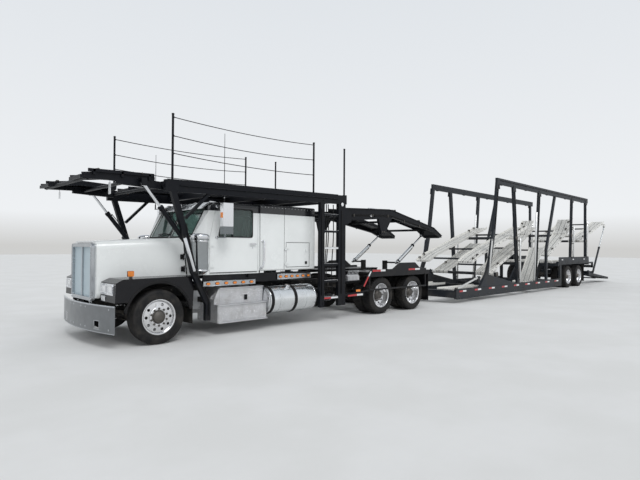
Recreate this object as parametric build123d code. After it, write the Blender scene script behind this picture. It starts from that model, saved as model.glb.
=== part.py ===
from build123d import *
import os
from math import cos, hypot, radians, sin

# Articulated car transporter: conventional sleeper tractor with a rack over cab and hood, coupled
# low behind its drive axles to a two-axle trailer with tilting wheel-track decks.
# Millimetres. X forward from the front axle, Y left, Z up from the ground; moved to its own
# box centre at the end.

# Wheel tracks, the bay beside them for the cylinders, and the bars of the side frames outside it
TRACK_IN = 550.0
TRACK_OUT = 1080.0
TRACK_T = 55.0
TRACK_PLATE = 12.0
TRACK_END = 40.0
TIE_W = 80.0
TIE_H = 60.0
TIE_DROP = 35.0
SIDE_BAY = 140.0
SIDE_BAR_T = 80.0
CYL_OUTSET = 90.0
CYL_Y = TRACK_OUT + CYL_OUTSET
FRAME_IN = TRACK_OUT + SIDE_BAY
FRAME_OUT = FRAME_IN + SIDE_BAR_T

# Running clearances
CLEAR = 8.0
PIN_CLEAR = 0.4

# Wheels and axles
TYRE_R = 463.0
TYRE_W = 280.0
RIM_R = 292.0
RIM_WALL = 14.0
RIM_INSET = 22.0
DISC_T = 20.0
HUB_R = 120.0
SPINDLE_R = 45.0
WHEEL_FIT = 0.3
DUAL_PITCH = 325.0
WHEELBASE = 5863.0
DRIVE_SPREAD = 1326.0
STEER_FACE_Y = 1200.0
DRIVE_FACE_Y = 1250.0
TRAILER_FACE_Y = 1270.0
HAND_HOLES = 10
HAND_HOLE_R = 27.0
HAND_HOLE_PITCH_R = 215.0
AXLE_TUBE_R = 65.0
DIFF_R = 190.0
KINGPIN_R = 22.0
KINGPIN_Y = 905.0
FORK_R = 50.0
FORK_UPPER = (TYRE_R + 44, TYRE_R + 100)
FORK_LOWER = (TYRE_R - 102, TYRE_R - 54)
BEAM_WEB = 36.0
BEAM_FLANGE = 20.0
AXLE_BEAM_TOP = 380.0
AXLE_BEAM_BOTTOM = 270.0
AXLE_BEAM_KNEE = 700.0
SPRING_HALF = 620.0
SPRING_TOP = 500.0
SPRING_CAMBER = 110.0
SPRING_STEPS = 6
SPRING_IN = 390.0
LEAVES = 5
LEAF_T = 18.0
LEAF_W = 80.0
DRIVE_X = (-WHEELBASE, -WHEELBASE - DRIVE_SPREAD)
DUAL_W = DUAL_PITCH + TYRE_W

# Tractor chassis
RAIL_Y = 430.0
RAIL_T = 70.0
RAIL_TOP = 900.0
RAIL_DEPTH = 270.0
RAIL_WEB = 14.0
RAIL_FLANGE = 16.0
RAIL_FRONT_BLOCK = 100.0
RAIL_REAR_BLOCK = 340.0
RAIL_FRONT = 770.0
RAIL_REAR_OVERHANG = 760.0
CROSS_W = 90.0
RAIL_REAR = DRIVE_X[1] - RAIL_REAR_OVERHANG
RAIL_IN = RAIL_Y - RAIL_T
RAIL_BOTTOM = RAIL_TOP - RAIL_DEPTH
CROSS_X = (RAIL_FRONT - 60, -1650.0, -2700.0, -4000.0, DRIVE_X[0] + 480, DRIVE_X[0] - 660, RAIL_REAR + 45)
CAB_MOUNT_X = (-950.0, -2050.0)
SLEEPER_MOUNT_X = (-2500.0, -3500.0)
HORN_W = 25.0
ENGINE_FRONT = 480.0
ENGINE_REAR = -560.0
ENGINE_Z = (700.0, 1560.0)
RADIATOR_X = (560.0, 640.0)
RADIATOR_Z = (800.0, 1600.0)
RADIATOR_HOSE_Z = (1000.0, 1400.0)
GEARBOX_Z = (560.0, 900.0)
GEARBOX_HALF = 230.0
SHAFT_Z = 700.0
GEARBOX_REAR = -1500.0

# Coupling
STINGER_REACH = 1460.0
PIN_R = 50.0
STINGER_W = 300.0
STINGER_TOP = 430.0
STINGER_DEPTH = 130.0
COUPLER_GAP = 6.0
COUPLER_T = 110.0
COUPLER_R = 170.0
PIVOT_X = DRIVE_X[1] - STINGER_REACH

# Cab and sleeper
WALL = 42.0
CAB_Y = 1020.0
CAB_FLOOR = 1130.0
CAB_ROOF = 2500.0
CAB_FRONT = -605.0
COWL_RAKE = 80.0
SCREEN_FOOT_X = -745.0
SCREEN_HALF = 830.0
CAB_NOSE_HALF = 830.0
CAB_TAPER_X = -1000.0
CAB_REAR = -2200.0
COWL_Z = 1800.0
SCREEN_TOP_X = -1080.0
SCREEN_TOP_Z = 2430.0
ROOF_FRONT_X = -1200.0
DOOR_FRONT = -1060.0
DOOR_REAR = -2165.0
DOOR_BOTTOM = 1150.0
DOOR_TOP = 2440.0
DOOR_GAP = 6.0
DOOR_HINGE_Z = (1300.0, 1700.0)
DOOR_HINGE_X = DOOR_FRONT + 16
DOOR_HINGE_Y = CAB_Y + 18
WINDOW_FRONT = -1250.0
WINDOW_REAR = -2030.0
WINDOW_BOTTOM = 1850.0
WINDOW_TOP = 2385.0
WINDOW_RAKE = 120.0
GLASS_T = 8.0
GLASS_FIT = 0.3
SLEEPER_Y = 1050.0
SLEEPER_REAR = -3720.0
SLEEPER_FLOOR = 1170.0
SLEEPER_ROOF = 2525.0
LOCKER_FRONT = -2900.0
LOCKER_REAR = -3550.0
LOCKER_BOTTOM = 1240.0
LOCKER_TOP = 1750.0
LOCKER_HINGE_Z = (1330.0, 1640.0)
LOCKER_HINGE_X = LOCKER_FRONT + 16
LOCKER_HINGE_Y = SLEEPER_Y + 16
ROOF_R = 45.0
MIRROR_R = 8.0
MIRROR_X = (-1370.0, -1150.0)
MIRROR_Y = (1215.0, 1335.0)
MIRROR_Z = (1890.0, 2470.0)
MIRROR_STEM = (-1240.0, 1250.0)
MIRROR_ARM_Z = (1830.0, 2420.0)
MIRROR_ARM_FOOT_X = -1210.0
MIRROR_ARM_R = 13.0
SEAT_R = 40.0
SEAT_Y = (280.0, 760.0)
SEAT_X = (-2010.0, -1500.0)
SEAT_Z = (1500.0, 1640.0)
SEAT_BACK_TOP = 2300.0
PEDESTAL_X = (-1900.0, -1600.0)
PEDESTAL_Y = (380.0, 660.0)
HINGE_PIN_R = 7.0
HINGE_EAR_R = 14.0
HINGE_FIT = 0.4

# Hood, fenders and bumper
HOOD_FRONT = 810.0
HOOD_REAR = -660.0
HOOD_FRONT_HALF = 560.0
HOOD_REAR_HALF = 900.0
HOOD_FRONT_TOP = 1740.0
HOOD_REAR_TOP = 1820.0
HOOD_SKIRT = 1120.0
HOOD_NOSE_Z = 780.0
HOOD_SKIN = 22.0
HOOD_CORNER_R = 130.0
HOOD_PIVOT_X = 850.0
HOOD_PIVOT_Z = 708.0
HOOD_PIN_R = 10.0
EAR_W = 18.0
FENDER_INSET = 30.0
FENDER_Y = FRAME_IN - FENDER_INSET
FENDER_SKIN = 18.0
FENDER_TOP = 1120.0
FENDER_NOSE = HOOD_FRONT - 60
FENDER_NOSE_BOTTOM = 745.0
FENDER_IN = 540.0
FENDER_REAR = -640.0
FENDER_REAR_BOTTOM = 560.0
FENDER_BEND_X = HOOD_FRONT - 190
ARCH_R = 575.0
ARCH_LIP = 22.0
LAMP_R = 18.0
LAMP_FACE = FENDER_NOSE + 5
LAMP_DEPTH = 55.0
LAMP_Y = (600.0, 1130.0)
LAMP_Z = (865.0, 1045.0)
SIGNAL_Y = (620.0, 800.0)
SIGNAL_Z = (755.0, 840.0)
GRILLE_HALF = 500.0
GRILLE_BOTTOM = 735.0
GRILLE_TOP = 1700.0
GRILLE_FRAME = 55.0
GRILLE_T = 60.0
GRILLE_R = 70.0
GRILLE_HOLE_R = 30.0
INFILL_T = 22.0
BUMPER_FRONT = 930.0
BUMPER_SWEEP = 160.0
BUMPER_HALF = 1220.0
BUMPER_BOTTOM = 250.0
BUMPER_TOP = 700.0
BUMPER_T = 12.0
TOW_HOLE_Y = (660.0, 820.0)
TOW_HOLE_Z = (300.0, 440.0)
BRACKET_Z = (520.0, 680.0)

# Side equipment
TANK_R = 280.0
TANK_EDGE_R = 40.0
TANK_Y = 990.0
TANK_Z = 570.0
TANK_FRONT = -2330.0
TANK_REAR = -3610.0
BOX_FRONT = -1160.0
BOX_REAR = -2300.0
BOX_FACE_Y = 1150.0
BOX_BOTTOM = 230.0
BOX_TOP = 870.0
CLEANER_R = 155.0
CLEANER_CAP_R = CLEANER_R + 10
CLEANER_X = -800.0
CLEANER_Y = 1110.0
CLEANER_BOTTOM = 1150.0
CLEANER_TOP = 1850.0
SKIRT_X = (-3640.0, -940.0)
SKIRT_BOTTOM = 960.0
COVER_TOP = 1060.0
COVER_T = 20.0
VALANCE_BOTTOM = 945.0
VALANCE_TOE = 730.0
VALANCE_IN = DRIVE_FACE_Y + 12
VALANCE_OUT = DRIVE_FACE_Y + 35
PEAK_TOP = 1260.0
GUARD_BAR_Z = 630.0

# Steering wheel
STEER_X = -1250.0
STEER_Y = 500.0
STEER_Z = 1770.0
STEER_TILT = 45.0
STEER_RING_R = 220.0
STEER_HUB = 40.0
STEER_SHAFT_R = 12.0

# Sun visor over the windscreen
VISOR_HALF = 880.0
VISOR_T = 12.0
VISOR_REACH = 240.0
VISOR_DROP = 132.0

# Rack over the cab; pivots, feet and eyes are (x, z) in side view
RACK_Y = FRAME_OUT
RACK_T = SIDE_BAR_T
RACK_FRONT = -30.0
RACK_REAR = -4500.0
RACK_FRONT_TOP = 2790.0
RACK_REAR_TOP = 2850.0
RACK_DEPTH = 200.0
RACK_TRACK_FRONT = -170.0
RACK_TRACK_RISE = 10.0
LEG_W = 100.0
OUTRIGGER_FRONT = -870.0
LADDER_FRONT = -3725.0
LADDER_REAR = -4350.0
LADDER_FRONT_W = 130.0
LADDER_REAR_W = 230.0
LADDER_FOOT_Z = 340.0
RUNG_STEP = 370.0
RUNG_BOTTOM = 530.0
RUNGS = 6
GUARD_TOP = 3930.0
GUARD_POST_R = 20.0
GUARD_X = (-170.0, -3480.0, -4450.0)
RACK_CROSS_X = (-1400.0, -2600.0, LADDER_FRONT, RACK_REAR + 80)
HEAD_PIVOT = (-80.0, 2700.0)
HEAD_PIN_R = 28.0
HEAD_CYL_FOOT = (-450.0, 1770.0)
HEAD_CYL_EYE = (300.0, 2700.0)
HEAD_CYL_Y = CYL_Y

# Truck deck, hinged behind the rack and lifted by cylinders on the frame
TRUCK_PIVOT = (-4600.0, 2350.0)
TRUCK_SIDE_T = 70.0
TRUCK_SLOT_L = 210.0
TRUCK_SLOT_H = 64.0
TRUCK_CYL_FOOT = (DRIVE_X[1] + 139.0, 1250.0)
TRUCK_CYL_EYE = (DRIVE_X[1] - 1061.0, 2020.0)
TRUCK_CYL_Y = 800.0

# Cylinders
BARREL_R = 42.0
ROD_R = 24.0
EYE_R = 40.0
EYE_W = 44.0
FOOT_PIN_R = 22.0
EYE_BORE_R = 22.0
CHEEK_T = 14.0
CHEEK_W = 90.0

# Trailer: every X is measured from the coupling pin, negative towards the tail
TRAILER_AXLE_X = -9859.0
TRAILER_SPREAD = 1249.0
TRAILER_X = (TRAILER_AXLE_X, TRAILER_AXLE_X - TRAILER_SPREAD)
BEAM_Y = FRAME_OUT
BEAM_T = SIDE_BAR_T
BEAM_BOTTOM = 130.0
BEAM_TOP = 420.0
BEAM_FRONT = -671.0
BEAM_REAR = -8951.0
GUSSET_TOP = 800.0
NECK_HALF = 150.0
TOP_RAIL_FRONT = -3281.0
POST_HEAD_W = 140.0
TOP_RAIL_REAR = -12151.0
TOP_RAIL_FRONT_Z = 4035.0
TOP_RAIL_REAR_Z = 3960.0
TOP_RAIL_DEPTH = 210.0
BED_Z = 1120.0
BED_T = 60.0
BED_FRONT = -8601.0
BED_REAR = -12301.0
INNER_RAIL_Y = 480.0
INNER_RAIL_T = 70.0
INNER_RAIL_BOTTOM = 760.0
TAIL_CROSS_X = -12821.0
BEAM_CROSS_X = (BEAM_FRONT - 60, -2151.0, -3651.0, -5151.0, -6651.0, -7951.0, BEAM_REAR + 60)

# Decks turn on fixed pins in the side frames
DECK_PIN_R = 30.0
DECK_TUBE_R = 50.0
DECK_TUBE_Y = FRAME_IN - CLEAR
FRONT_PIVOT = (-4736.0, 2030.0)
REAR_PIVOT = (-10111.0, 2235.0)
LOWER_PIVOT = (-3251.0, 790.0)
TAIL_PIVOT = (-11916.0, 2010.0)
TAIL_CYL_FOOT = (-13271.0, 550.0)
TAIL_CYL_EYE = (-14951.0, 2760.0)
TAIL_CYL_Y = CYL_Y
RAMP_PIVOT = (-12801.0, 560.0)
RAMP_TUBE_R = 40.0
DECK_PIN_REACH = 75.0
RAMP_TUBE_OUTSET = 70.0
RAMP_TUBE_Y = TRACK_OUT + RAMP_TUBE_OUTSET

# Decks by name: pivot, track as (along, up) from it, X of the cross ties from it
DECKS = {
    "front_deck": (FRONT_PIVOT, [(2700, -800), (2185, -580), (-115, 100), (-675, 240)], (2385, 1385, -515)),
    "front_flap": (FRONT_PIVOT, [(-655, 242), (-1415, 450)], ()),
    "rear_deck": (REAR_PIVOT, [(1860, -835), (60, 55), (-740, 415)], (1360, -440)),
    "rear_flap": (REAR_PIVOT, [(60, 95), (-540, 725)], ()),
    "lower_deck": (LOWER_PIVOT, [(50, 50), (-2600, 1050)], (-700, -2300)),
    "tail_deck": (TAIL_PIVOT, [(85, 62), (-1925, 580), (-3335, 1030)], (-835, -2335, -3135)),
    "tail_ramp": (RAMP_PIVOT, [(-30, 60), (-950, -140), (-3100, -380)], (-850, -2850)),
}

# Posts of the side frames: foot x, foot z, head x, head z, width
SIDE_POSTS = (
    (-2551, 730, -2791, 1210, 150),
    (-2791, 1210, -3071, 2200, 150),
    (-3071, 2200, TOP_RAIL_FRONT - POST_HEAD_W / 2, 3900, POST_HEAD_W),
    (-4901, 350, -4551, 3860, 150),
    (-6391, 350, -6771, 3860, 140),
    (-7451, 1610, -8351, 3850, 110),
    (-10027, 1060, -10221, 3850, 130),
    (-11911, 1060, -11921, 3850, 130),
)
STRUT_X = SIDE_POSTS[5][0]

# Cylinders by name: foot, eye, y, rod shown, rod held in the barrel
CYLINDERS = {
    "head": (HEAD_CYL_FOOT, HEAD_CYL_EYE, HEAD_CYL_Y, 475, 520),
    "truck_deck": (TRUCK_CYL_FOOT, TRUCK_CYL_EYE, TRUCK_CYL_Y, 525, 500),
    "tail": (TAIL_CYL_FOOT, TAIL_CYL_EYE, TAIL_CYL_Y, 1275, 700),
}


def box(x0, x1, y0, y1, z0, z1):
    """Block between two opposite corners."""
    size = (abs(x1 - x0), abs(y1 - y0), abs(z1 - z0))
    return Pos((x0 + x1) / 2, (y0 + y1) / 2, (z0 + z1) / 2) * Box(*size)


def side_plate(points, y0, y1):
    """Outline of (x, z) points, extruded from y0 to y1."""
    plane = Plane((0, max(y0, y1), 0), x_dir=(1, 0, 0), z_dir=(0, -1, 0))
    return extrude(plane * make_face(Polyline(*points, close=True)), abs(y1 - y0))


def plan_plate(points, z0, z1):
    """Outline of (x, y) points, extruded from z0 to z1."""
    return extrude(Plane.XY.offset(z0) * make_face(Polyline(*points, close=True)), z1 - z0)


def front_plate(points, x0, x1):
    """Outline of (y, z) points, extruded from x0 to x1."""
    plane = Plane((min(x0, x1), 0, 0), x_dir=(0, 1, 0), z_dir=(1, 0, 0))
    return extrude(plane * make_face(Polyline(*points, close=True)), abs(x1 - x0))


def rod(start, end, radius):
    """Round bar between two points."""
    start, end = Vector(*start), Vector(*end)
    return Solid.make_cylinder(radius, (end - start).length, Plane(start, z_dir=end - start))


def cross_rod(x, z, y0, y1, radius):
    """Round bar along Y."""
    return rod((x, min(y0, y1), z), (x, max(y0, y1), z), radius)


def member(start, end, depth, y0, y1):
    """Straight bar in side view between two (x, z) points, of the given depth."""
    dx, dz = end[0] - start[0], end[1] - start[1]
    nx, nz = -dz / hypot(dx, dz) * depth / 2, dx / hypot(dx, dz) * depth / 2
    corners = [
        (start[0] + nx, start[1] + nz),
        (end[0] + nx, end[1] + nz),
        (end[0] - nx, end[1] - nz),
        (start[0] - nx, start[1] - nz),
    ]
    return side_plate(corners, y0, y1)


def ribbon(path, depth, y0, y1):
    """Bent plate whose top follows (x, z) points."""
    below = [(x, z - depth) for x, z in reversed(path)]
    return side_plate(list(path) + below, y0, y1)


def weld(*shapes):
    """One list of solids from shapes that touch."""
    flat = [s for shape in shapes for s in (shape if isinstance(shape, list) else [shape])]
    return flat[0].fuse(*flat[1:]).solids() if len(flat) > 1 else flat[0].solids()


def both(shapes):
    """The given left-hand shapes with their right-hand mirror images."""
    shapes = shapes if isinstance(shapes, list) else [shapes]
    return shapes + [mirror(shape, Plane.XZ) for shape in shapes]


def handed(shape, side):
    """Left-hand shape for side 1, its mirror image for side -1."""
    return shape if side > 0 else mirror(shape, Plane.XZ)


def revolved(points):
    """Ring about the Y axis from (y, radius) points."""
    plane = Plane((0, 0, 0), x_dir=(0, 1, 0), z_dir=(1, 0, 0))
    return revolve(plane * make_face(Polyline(*points, close=True)), Axis.Y)


# Wheels


def tyre(y_out):
    """Tyre whose outer face is at y_out, on the Y axis."""
    y_in = y_out - TYRE_W
    bead = RIM_R + WHEEL_FIT
    shoulder = TYRE_R - 28
    return revolved([
        (y_out - RIM_INSET, bead),
        (y_out, (bead + TYRE_R) / 2),
        (y_out - 16, shoulder),
        (y_out - 45, TYRE_R),
        (y_in + 45, TYRE_R),
        (y_in + 16, shoulder),
        (y_in, (bead + TYRE_R) / 2),
        (y_in + RIM_INSET, bead),
    ])


def steer_rim():
    """Front wheel: barrel, disc near its outer face, hub and hand holes."""
    y_out = STEER_FACE_Y - RIM_INSET
    y_in = STEER_FACE_Y - TYRE_W + RIM_INSET
    disc = y_out - 35
    bore = SPINDLE_R + WHEEL_FIT
    rim = revolved([
        (y_out, RIM_R),
        (y_out, RIM_R - RIM_WALL),
        (disc, RIM_R - 2 * RIM_WALL),
        (disc, HUB_R),
        (y_out + 30, HUB_R - 35),
        (y_out + 30, bore),
        (disc - 90, bore),
        (disc - 90, HUB_R),
        (disc - DISC_T, HUB_R + DISC_T),
        (disc - DISC_T, RIM_R - 2 * RIM_WALL),
        (y_in, RIM_R - RIM_WALL),
        (y_in, RIM_R),
    ])
    return rim - hand_holes(disc - 2 * DISC_T, y_out)


def hand_holes(y0, y1):
    """Ring of hand holes through a wheel's disc, as solids to cut."""
    hole = cross_rod(0, HAND_HOLE_PITCH_R, y0, y1, HAND_HOLE_R)
    return [hole.rotate(Axis.Y, 360 / HAND_HOLES * i) for i in range(HAND_HOLES)]


def dual_rim(y_out):
    """Twin rims, dished, joined by the hub between them."""
    outer, inner = y_out - RIM_INSET, y_out - DUAL_W + RIM_INSET
    disc = y_out - DUAL_W / 2
    bore = SPINDLE_R + WHEEL_FIT
    rim = revolved([
        (outer, RIM_R),
        (outer, RIM_R - RIM_WALL),
        (disc + DISC_T, RIM_R - 3 * RIM_WALL),
        (disc + DISC_T, HUB_R + 20),
        (disc + 150, HUB_R - 15),
        (disc + 165, HUB_R - 45),
        (disc + 165, bore),
        (disc - 90, bore),
        (disc - 90, HUB_R + 30),
        (disc - DISC_T, RIM_R - 3 * RIM_WALL),
        (inner, RIM_R - RIM_WALL),
        (inner, RIM_R),
    ])
    return rim - hand_holes(disc - 100, disc + 2 * DISC_T)


def dual_wheel(x, y_out, side):
    """Twin wheel: two tyres on one dished rim."""
    solids = [dual_rim(y_out), tyre(y_out), tyre(y_out - DUAL_PITCH)]
    return [handed(Pos(x, 0, TYRE_R) * s, side) for s in solids]


# Tractor chassis and running gear


def tractor_frame():
    channel = box(
        RAIL_REAR + RAIL_REAR_BLOCK, RAIL_FRONT - RAIL_FRONT_BLOCK, RAIL_IN - 1, RAIL_Y - RAIL_WEB,
        RAIL_BOTTOM + RAIL_FLANGE, RAIL_TOP - RAIL_FLANGE,
    )
    rails = both(box(RAIL_REAR, RAIL_FRONT, RAIL_IN, RAIL_Y, RAIL_BOTTOM, RAIL_TOP) - channel)
    ties = [
        box(x - CROSS_W / 2, x + CROSS_W / 2, -RAIL_Y, RAIL_Y, RAIL_BOTTOM + 130, RAIL_TOP - 40)
        for x in CROSS_X
    ]
    # Cab and sleeper stand on blocks over the rails
    mounts = [
        box(x - 60, x + 60, RAIL_IN, RAIL_Y, RAIL_TOP - 5, top)
        for places, top in ((CAB_MOUNT_X, CAB_FLOOR), (SLEEPER_MOUNT_X, SLEEPER_FLOOR))
        for x in places
    ]
    # Outriggers carry the rack's legs and ladders
    outriggers = [
        box(x - 45, x + 45, RAIL_IN, RACK_Y - RACK_T, RAIL_BOTTOM + 20, RAIL_BOTTOM + 110)
        for x in (OUTRIGGER_FRONT, LADDER_FRONT, LADDER_REAR)
    ]
    horn = member((RAIL_FRONT - 40, HOOD_PIVOT_Z), (HOOD_PIVOT_X, HOOD_PIVOT_Z), 36, RAIL_IN, RAIL_IN + HORN_W)
    horn_tip = cross_rod(HOOD_PIVOT_X, HOOD_PIVOT_Z, RAIL_IN, RAIL_IN + HORN_W, 18)
    hood_pin = cross_rod(HOOD_PIVOT_X, HOOD_PIVOT_Z, RAIL_IN, RAIL_IN + 55, HOOD_PIN_R)
    stinger = side_plate([
        (RAIL_REAR + 300, RAIL_BOTTOM + 40),
        (RAIL_REAR, RAIL_BOTTOM + 40),
        (RAIL_REAR - 160, STINGER_TOP),
        (PIVOT_X, STINGER_TOP),
        (PIVOT_X, STINGER_TOP - STINGER_DEPTH),
        (RAIL_REAR - 80, STINGER_TOP - STINGER_DEPTH),
        (RAIL_REAR + 300, RAIL_BOTTOM - 90),
    ], -STINGER_W / 2, STINGER_W / 2)
    cheeks = both(side_plate([
        (RAIL_REAR + 320, RAIL_TOP - 60),
        (RAIL_REAR, RAIL_TOP - 60),
        (RAIL_REAR - 60, STINGER_TOP - 20),
        (RAIL_REAR + 260, STINGER_TOP - 20),
    ], STINGER_W / 2 - 5, RAIL_IN + 5))
    foot_x, foot_z = TRUCK_CYL_FOOT
    pedestal = box(foot_x - 70, foot_x + 70, RAIL_IN, RAIL_Y, RAIL_TOP - 5, foot_z + 50)
    pedestal_pin = cross_rod(*TRUCK_CYL_FOOT, RAIL_IN + 5, TRUCK_CYL_Y + 40, FOOT_PIN_R)
    tongue = rod((PIVOT_X, 0, STINGER_TOP - STINGER_DEPTH), (PIVOT_X, 0, STINGER_TOP), STINGER_W / 2)
    pin = rod((PIVOT_X, 0, STINGER_TOP - 20), (PIVOT_X, 0, STINGER_TOP + COUPLER_GAP + COUPLER_T + 12), PIN_R)
    return weld(
        rails, ties, both(mounts), both(outriggers), both([horn, horn_tip, hood_pin]),
        both([pedestal, pedestal_pin]), stinger, cheeks, tongue, pin,
    )


def powertrain():
    """Plain block for the engine, radiator in front, gearbox and prop shaft behind."""
    engine = box(ENGINE_REAR, ENGINE_FRONT, -RAIL_IN, RAIL_IN, *ENGINE_Z)
    radiator = box(*RADIATOR_X, -RAIL_IN, RAIL_IN, *RADIATOR_Z)
    gearbox = box(GEARBOX_REAR, ENGINE_REAR + 5, -GEARBOX_HALF, GEARBOX_HALF, *GEARBOX_Z)
    hoses = box(ENGINE_FRONT - 5, RADIATOR_X[0] + 5, -120, 120, *RADIATOR_HOSE_Z)
    return weld(engine, radiator, gearbox, hoses)


def front_axle():
    beam = front_plate([
        (-KINGPIN_Y + 70, TYRE_R + 40),
        (-AXLE_BEAM_KNEE, AXLE_BEAM_TOP),
        (AXLE_BEAM_KNEE, AXLE_BEAM_TOP),
        (KINGPIN_Y - 70, TYRE_R + 40),
        (KINGPIN_Y - 70, TYRE_R - 50),
        (AXLE_BEAM_KNEE, AXLE_BEAM_BOTTOM),
        (-AXLE_BEAM_KNEE, AXLE_BEAM_BOTTOM),
        (-KINGPIN_Y + 70, TYRE_R - 50),
    ], -55, 55)
    groove = AXLE_BEAM_KNEE - 10
    for x0, x1 in ((-60, -BEAM_WEB / 2), (BEAM_WEB / 2, 60)):
        beam -= box(x0, x1, -groove, groove, AXLE_BEAM_BOTTOM + BEAM_FLANGE, AXLE_BEAM_TOP - BEAM_FLANGE)
    spring = [spring_leaf(i) for i in range(LEAVES)]
    pad = box(-80, 80, SPRING_IN, SPRING_IN + LEAF_W, AXLE_BEAM_TOP - 5, SPRING_TOP - LEAVES * LEAF_T + 5)
    shackle = [
        box(x - 30, x + 30, SPRING_IN + 5, RAIL_Y, SPRING_TOP + SPRING_CAMBER - 2 * LEAF_T, RAIL_BOTTOM)
        for x in (-SPRING_HALF + 30, SPRING_HALF - 30)
    ]
    kingpin = rod((0, KINGPIN_Y, TYRE_R - 105), (0, KINGPIN_Y, TYRE_R + 105), KINGPIN_R)
    boss = rod((0, KINGPIN_Y, TYRE_R - 48), (0, KINGPIN_Y, TYRE_R + 38), 48)
    arm = box(-45, 45, KINGPIN_Y - 90, KINGPIN_Y, TYRE_R - 46, TYRE_R + 36)
    return weld(beam, both(spring + [pad, kingpin, boss, arm]), both(shackle))


def spring_leaf(i):
    """Leaf i of a front spring, counted down from the main leaf; each is a step shorter at both ends."""
    step = SPRING_HALF / SPRING_STEPS
    reach = SPRING_STEPS - i
    top = SPRING_TOP - i * LEAF_T
    path = [(step * k, top + SPRING_CAMBER * (k / SPRING_STEPS) ** 2) for k in range(-reach, reach + 1)]
    return ribbon(path, LEAF_T, SPRING_IN, SPRING_IN + LEAF_W)


def knuckle(side):
    """Steering knuckle: fork on the kingpin and spindle for the wheel."""
    bore = rod((0, KINGPIN_Y, TYRE_R - 130), (0, KINGPIN_Y, TYRE_R + 130), KINGPIN_R + PIN_CLEAR)
    upper, lower = [rod((0, KINGPIN_Y, z0), (0, KINGPIN_Y, z1), FORK_R) for z0, z1 in (FORK_UPPER, FORK_LOWER)]
    web = box(-FORK_R, FORK_R, KINGPIN_Y + 53, KINGPIN_Y + 85, FORK_LOWER[0], FORK_UPPER[1])
    cheek = [box(-45, 45, KINGPIN_Y, KINGPIN_Y + 60, z0, z1) for z0, z1 in (FORK_UPPER, FORK_LOWER)]
    spindle = cross_rod(0, TYRE_R, KINGPIN_Y + 80, STEER_FACE_Y - 5, SPINDLE_R)
    return [handed(s - bore, side) for s in weld(upper, lower, web, cheek, spindle)]


def axle_pair(positions, face_y, spring_y, rail_z):
    """Tandem of live or dead axles with their spindles, hung under the rails on trailing beams."""
    solids = []
    for x in positions:
        tube = cross_rod(x, TYRE_R, -face_y + DUAL_W - 12, face_y - DUAL_W + 12, AXLE_TUBE_R)
        spindle = cross_rod(x, TYRE_R, -face_y + 130, face_y - 130, SPINDLE_R)
        seat = both(box(x - 90, x + 90, spring_y - 45, spring_y + 45, TYRE_R - 70, TYRE_R + 75))
        hanger = both(box(x + 330, x + 430, spring_y - 45, spring_y + 45, TYRE_R + 20, rail_z))
        arm = both(member((x + 380, TYRE_R + 60), (x - 60, TYRE_R + 60), 70, spring_y - 40, spring_y + 40))
        solids += [tube, spindle] + seat + hanger + arm
    return solids


def drive_axles():
    solids = axle_pair(DRIVE_X, DRIVE_FACE_Y, RAIL_Y - RAIL_T / 2, RAIL_BOTTOM)
    low, high = TYRE_R - DIFF_R, TYRE_R + DIFF_R
    diffs = [
        rod((x, -5, low), (x, -5, high), DIFF_R) & cross_rod(x, TYRE_R, -150, 150, DIFF_R)
        for x in DRIVE_X
    ]
    flange = rod((GEARBOX_REAR, 0, SHAFT_Z), (GEARBOX_REAR - 30, 0, SHAFT_Z), 85)
    shaft = rod((GEARBOX_REAR - 15, 0, SHAFT_Z), (DRIVE_X[0] + 150, 0, TYRE_R + 60), 55)
    link = rod((DRIVE_X[0] - 120, 0, TYRE_R + 30), (DRIVE_X[1] + 120, 0, TYRE_R + 30), 50)
    return weld(solids, diffs, flange, shaft, link)


# Bumper, hood and fenders


def bumper():
    """Deep polished bumper, curved in plan, with tow holes."""
    ends = BUMPER_FRONT - BUMPER_SWEEP
    outer = ThreePointArc((ends, -BUMPER_HALF), (BUMPER_FRONT, 0), (ends, BUMPER_HALF))
    inner = ThreePointArc(
        (ends - BUMPER_T, BUMPER_HALF), (BUMPER_FRONT - BUMPER_T, 0), (ends - BUMPER_T, -BUMPER_HALF)
    )
    closing = [Line(outer @ 1, inner @ 0), Line(inner @ 1, outer @ 0)]
    face = Plane.XY.offset(BUMPER_BOTTOM) * make_face([outer, inner] + closing)
    skin = extrude(face, BUMPER_TOP - BUMPER_BOTTOM)
    holes = both(box(0, BUMPER_FRONT + 10, *TOW_HOLE_Y, *TOW_HOLE_Z))
    bracket = both(box(RAIL_FRONT - 60, BUMPER_FRONT - 18, RAIL_IN - 30, RAIL_IN, *BRACKET_Z))
    return weld(skin - holes, bracket)


def hood_body(shrink):
    """Tapered hood block, drawn in by shrink on every side but its rear."""
    sections = []
    for x, half, top, bottom in (
        (HOOD_FRONT - shrink, HOOD_FRONT_HALF, HOOD_FRONT_TOP, HOOD_NOSE_Z - 40),
        (HOOD_REAR - abs(shrink), HOOD_REAR_HALF, HOOD_REAR_TOP, HOOD_NOSE_Z - 40),
    ):
        height = top - shrink - bottom
        plane = Plane((x, 0, (top - shrink + bottom) / 2), x_dir=(0, 1, 0), z_dir=(1, 0, 0))
        sections.append(plane * RectangleRounded(2 * (half - shrink), height, HOOD_CORNER_R - shrink))
    return loft(sections, ruled=True)


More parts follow.
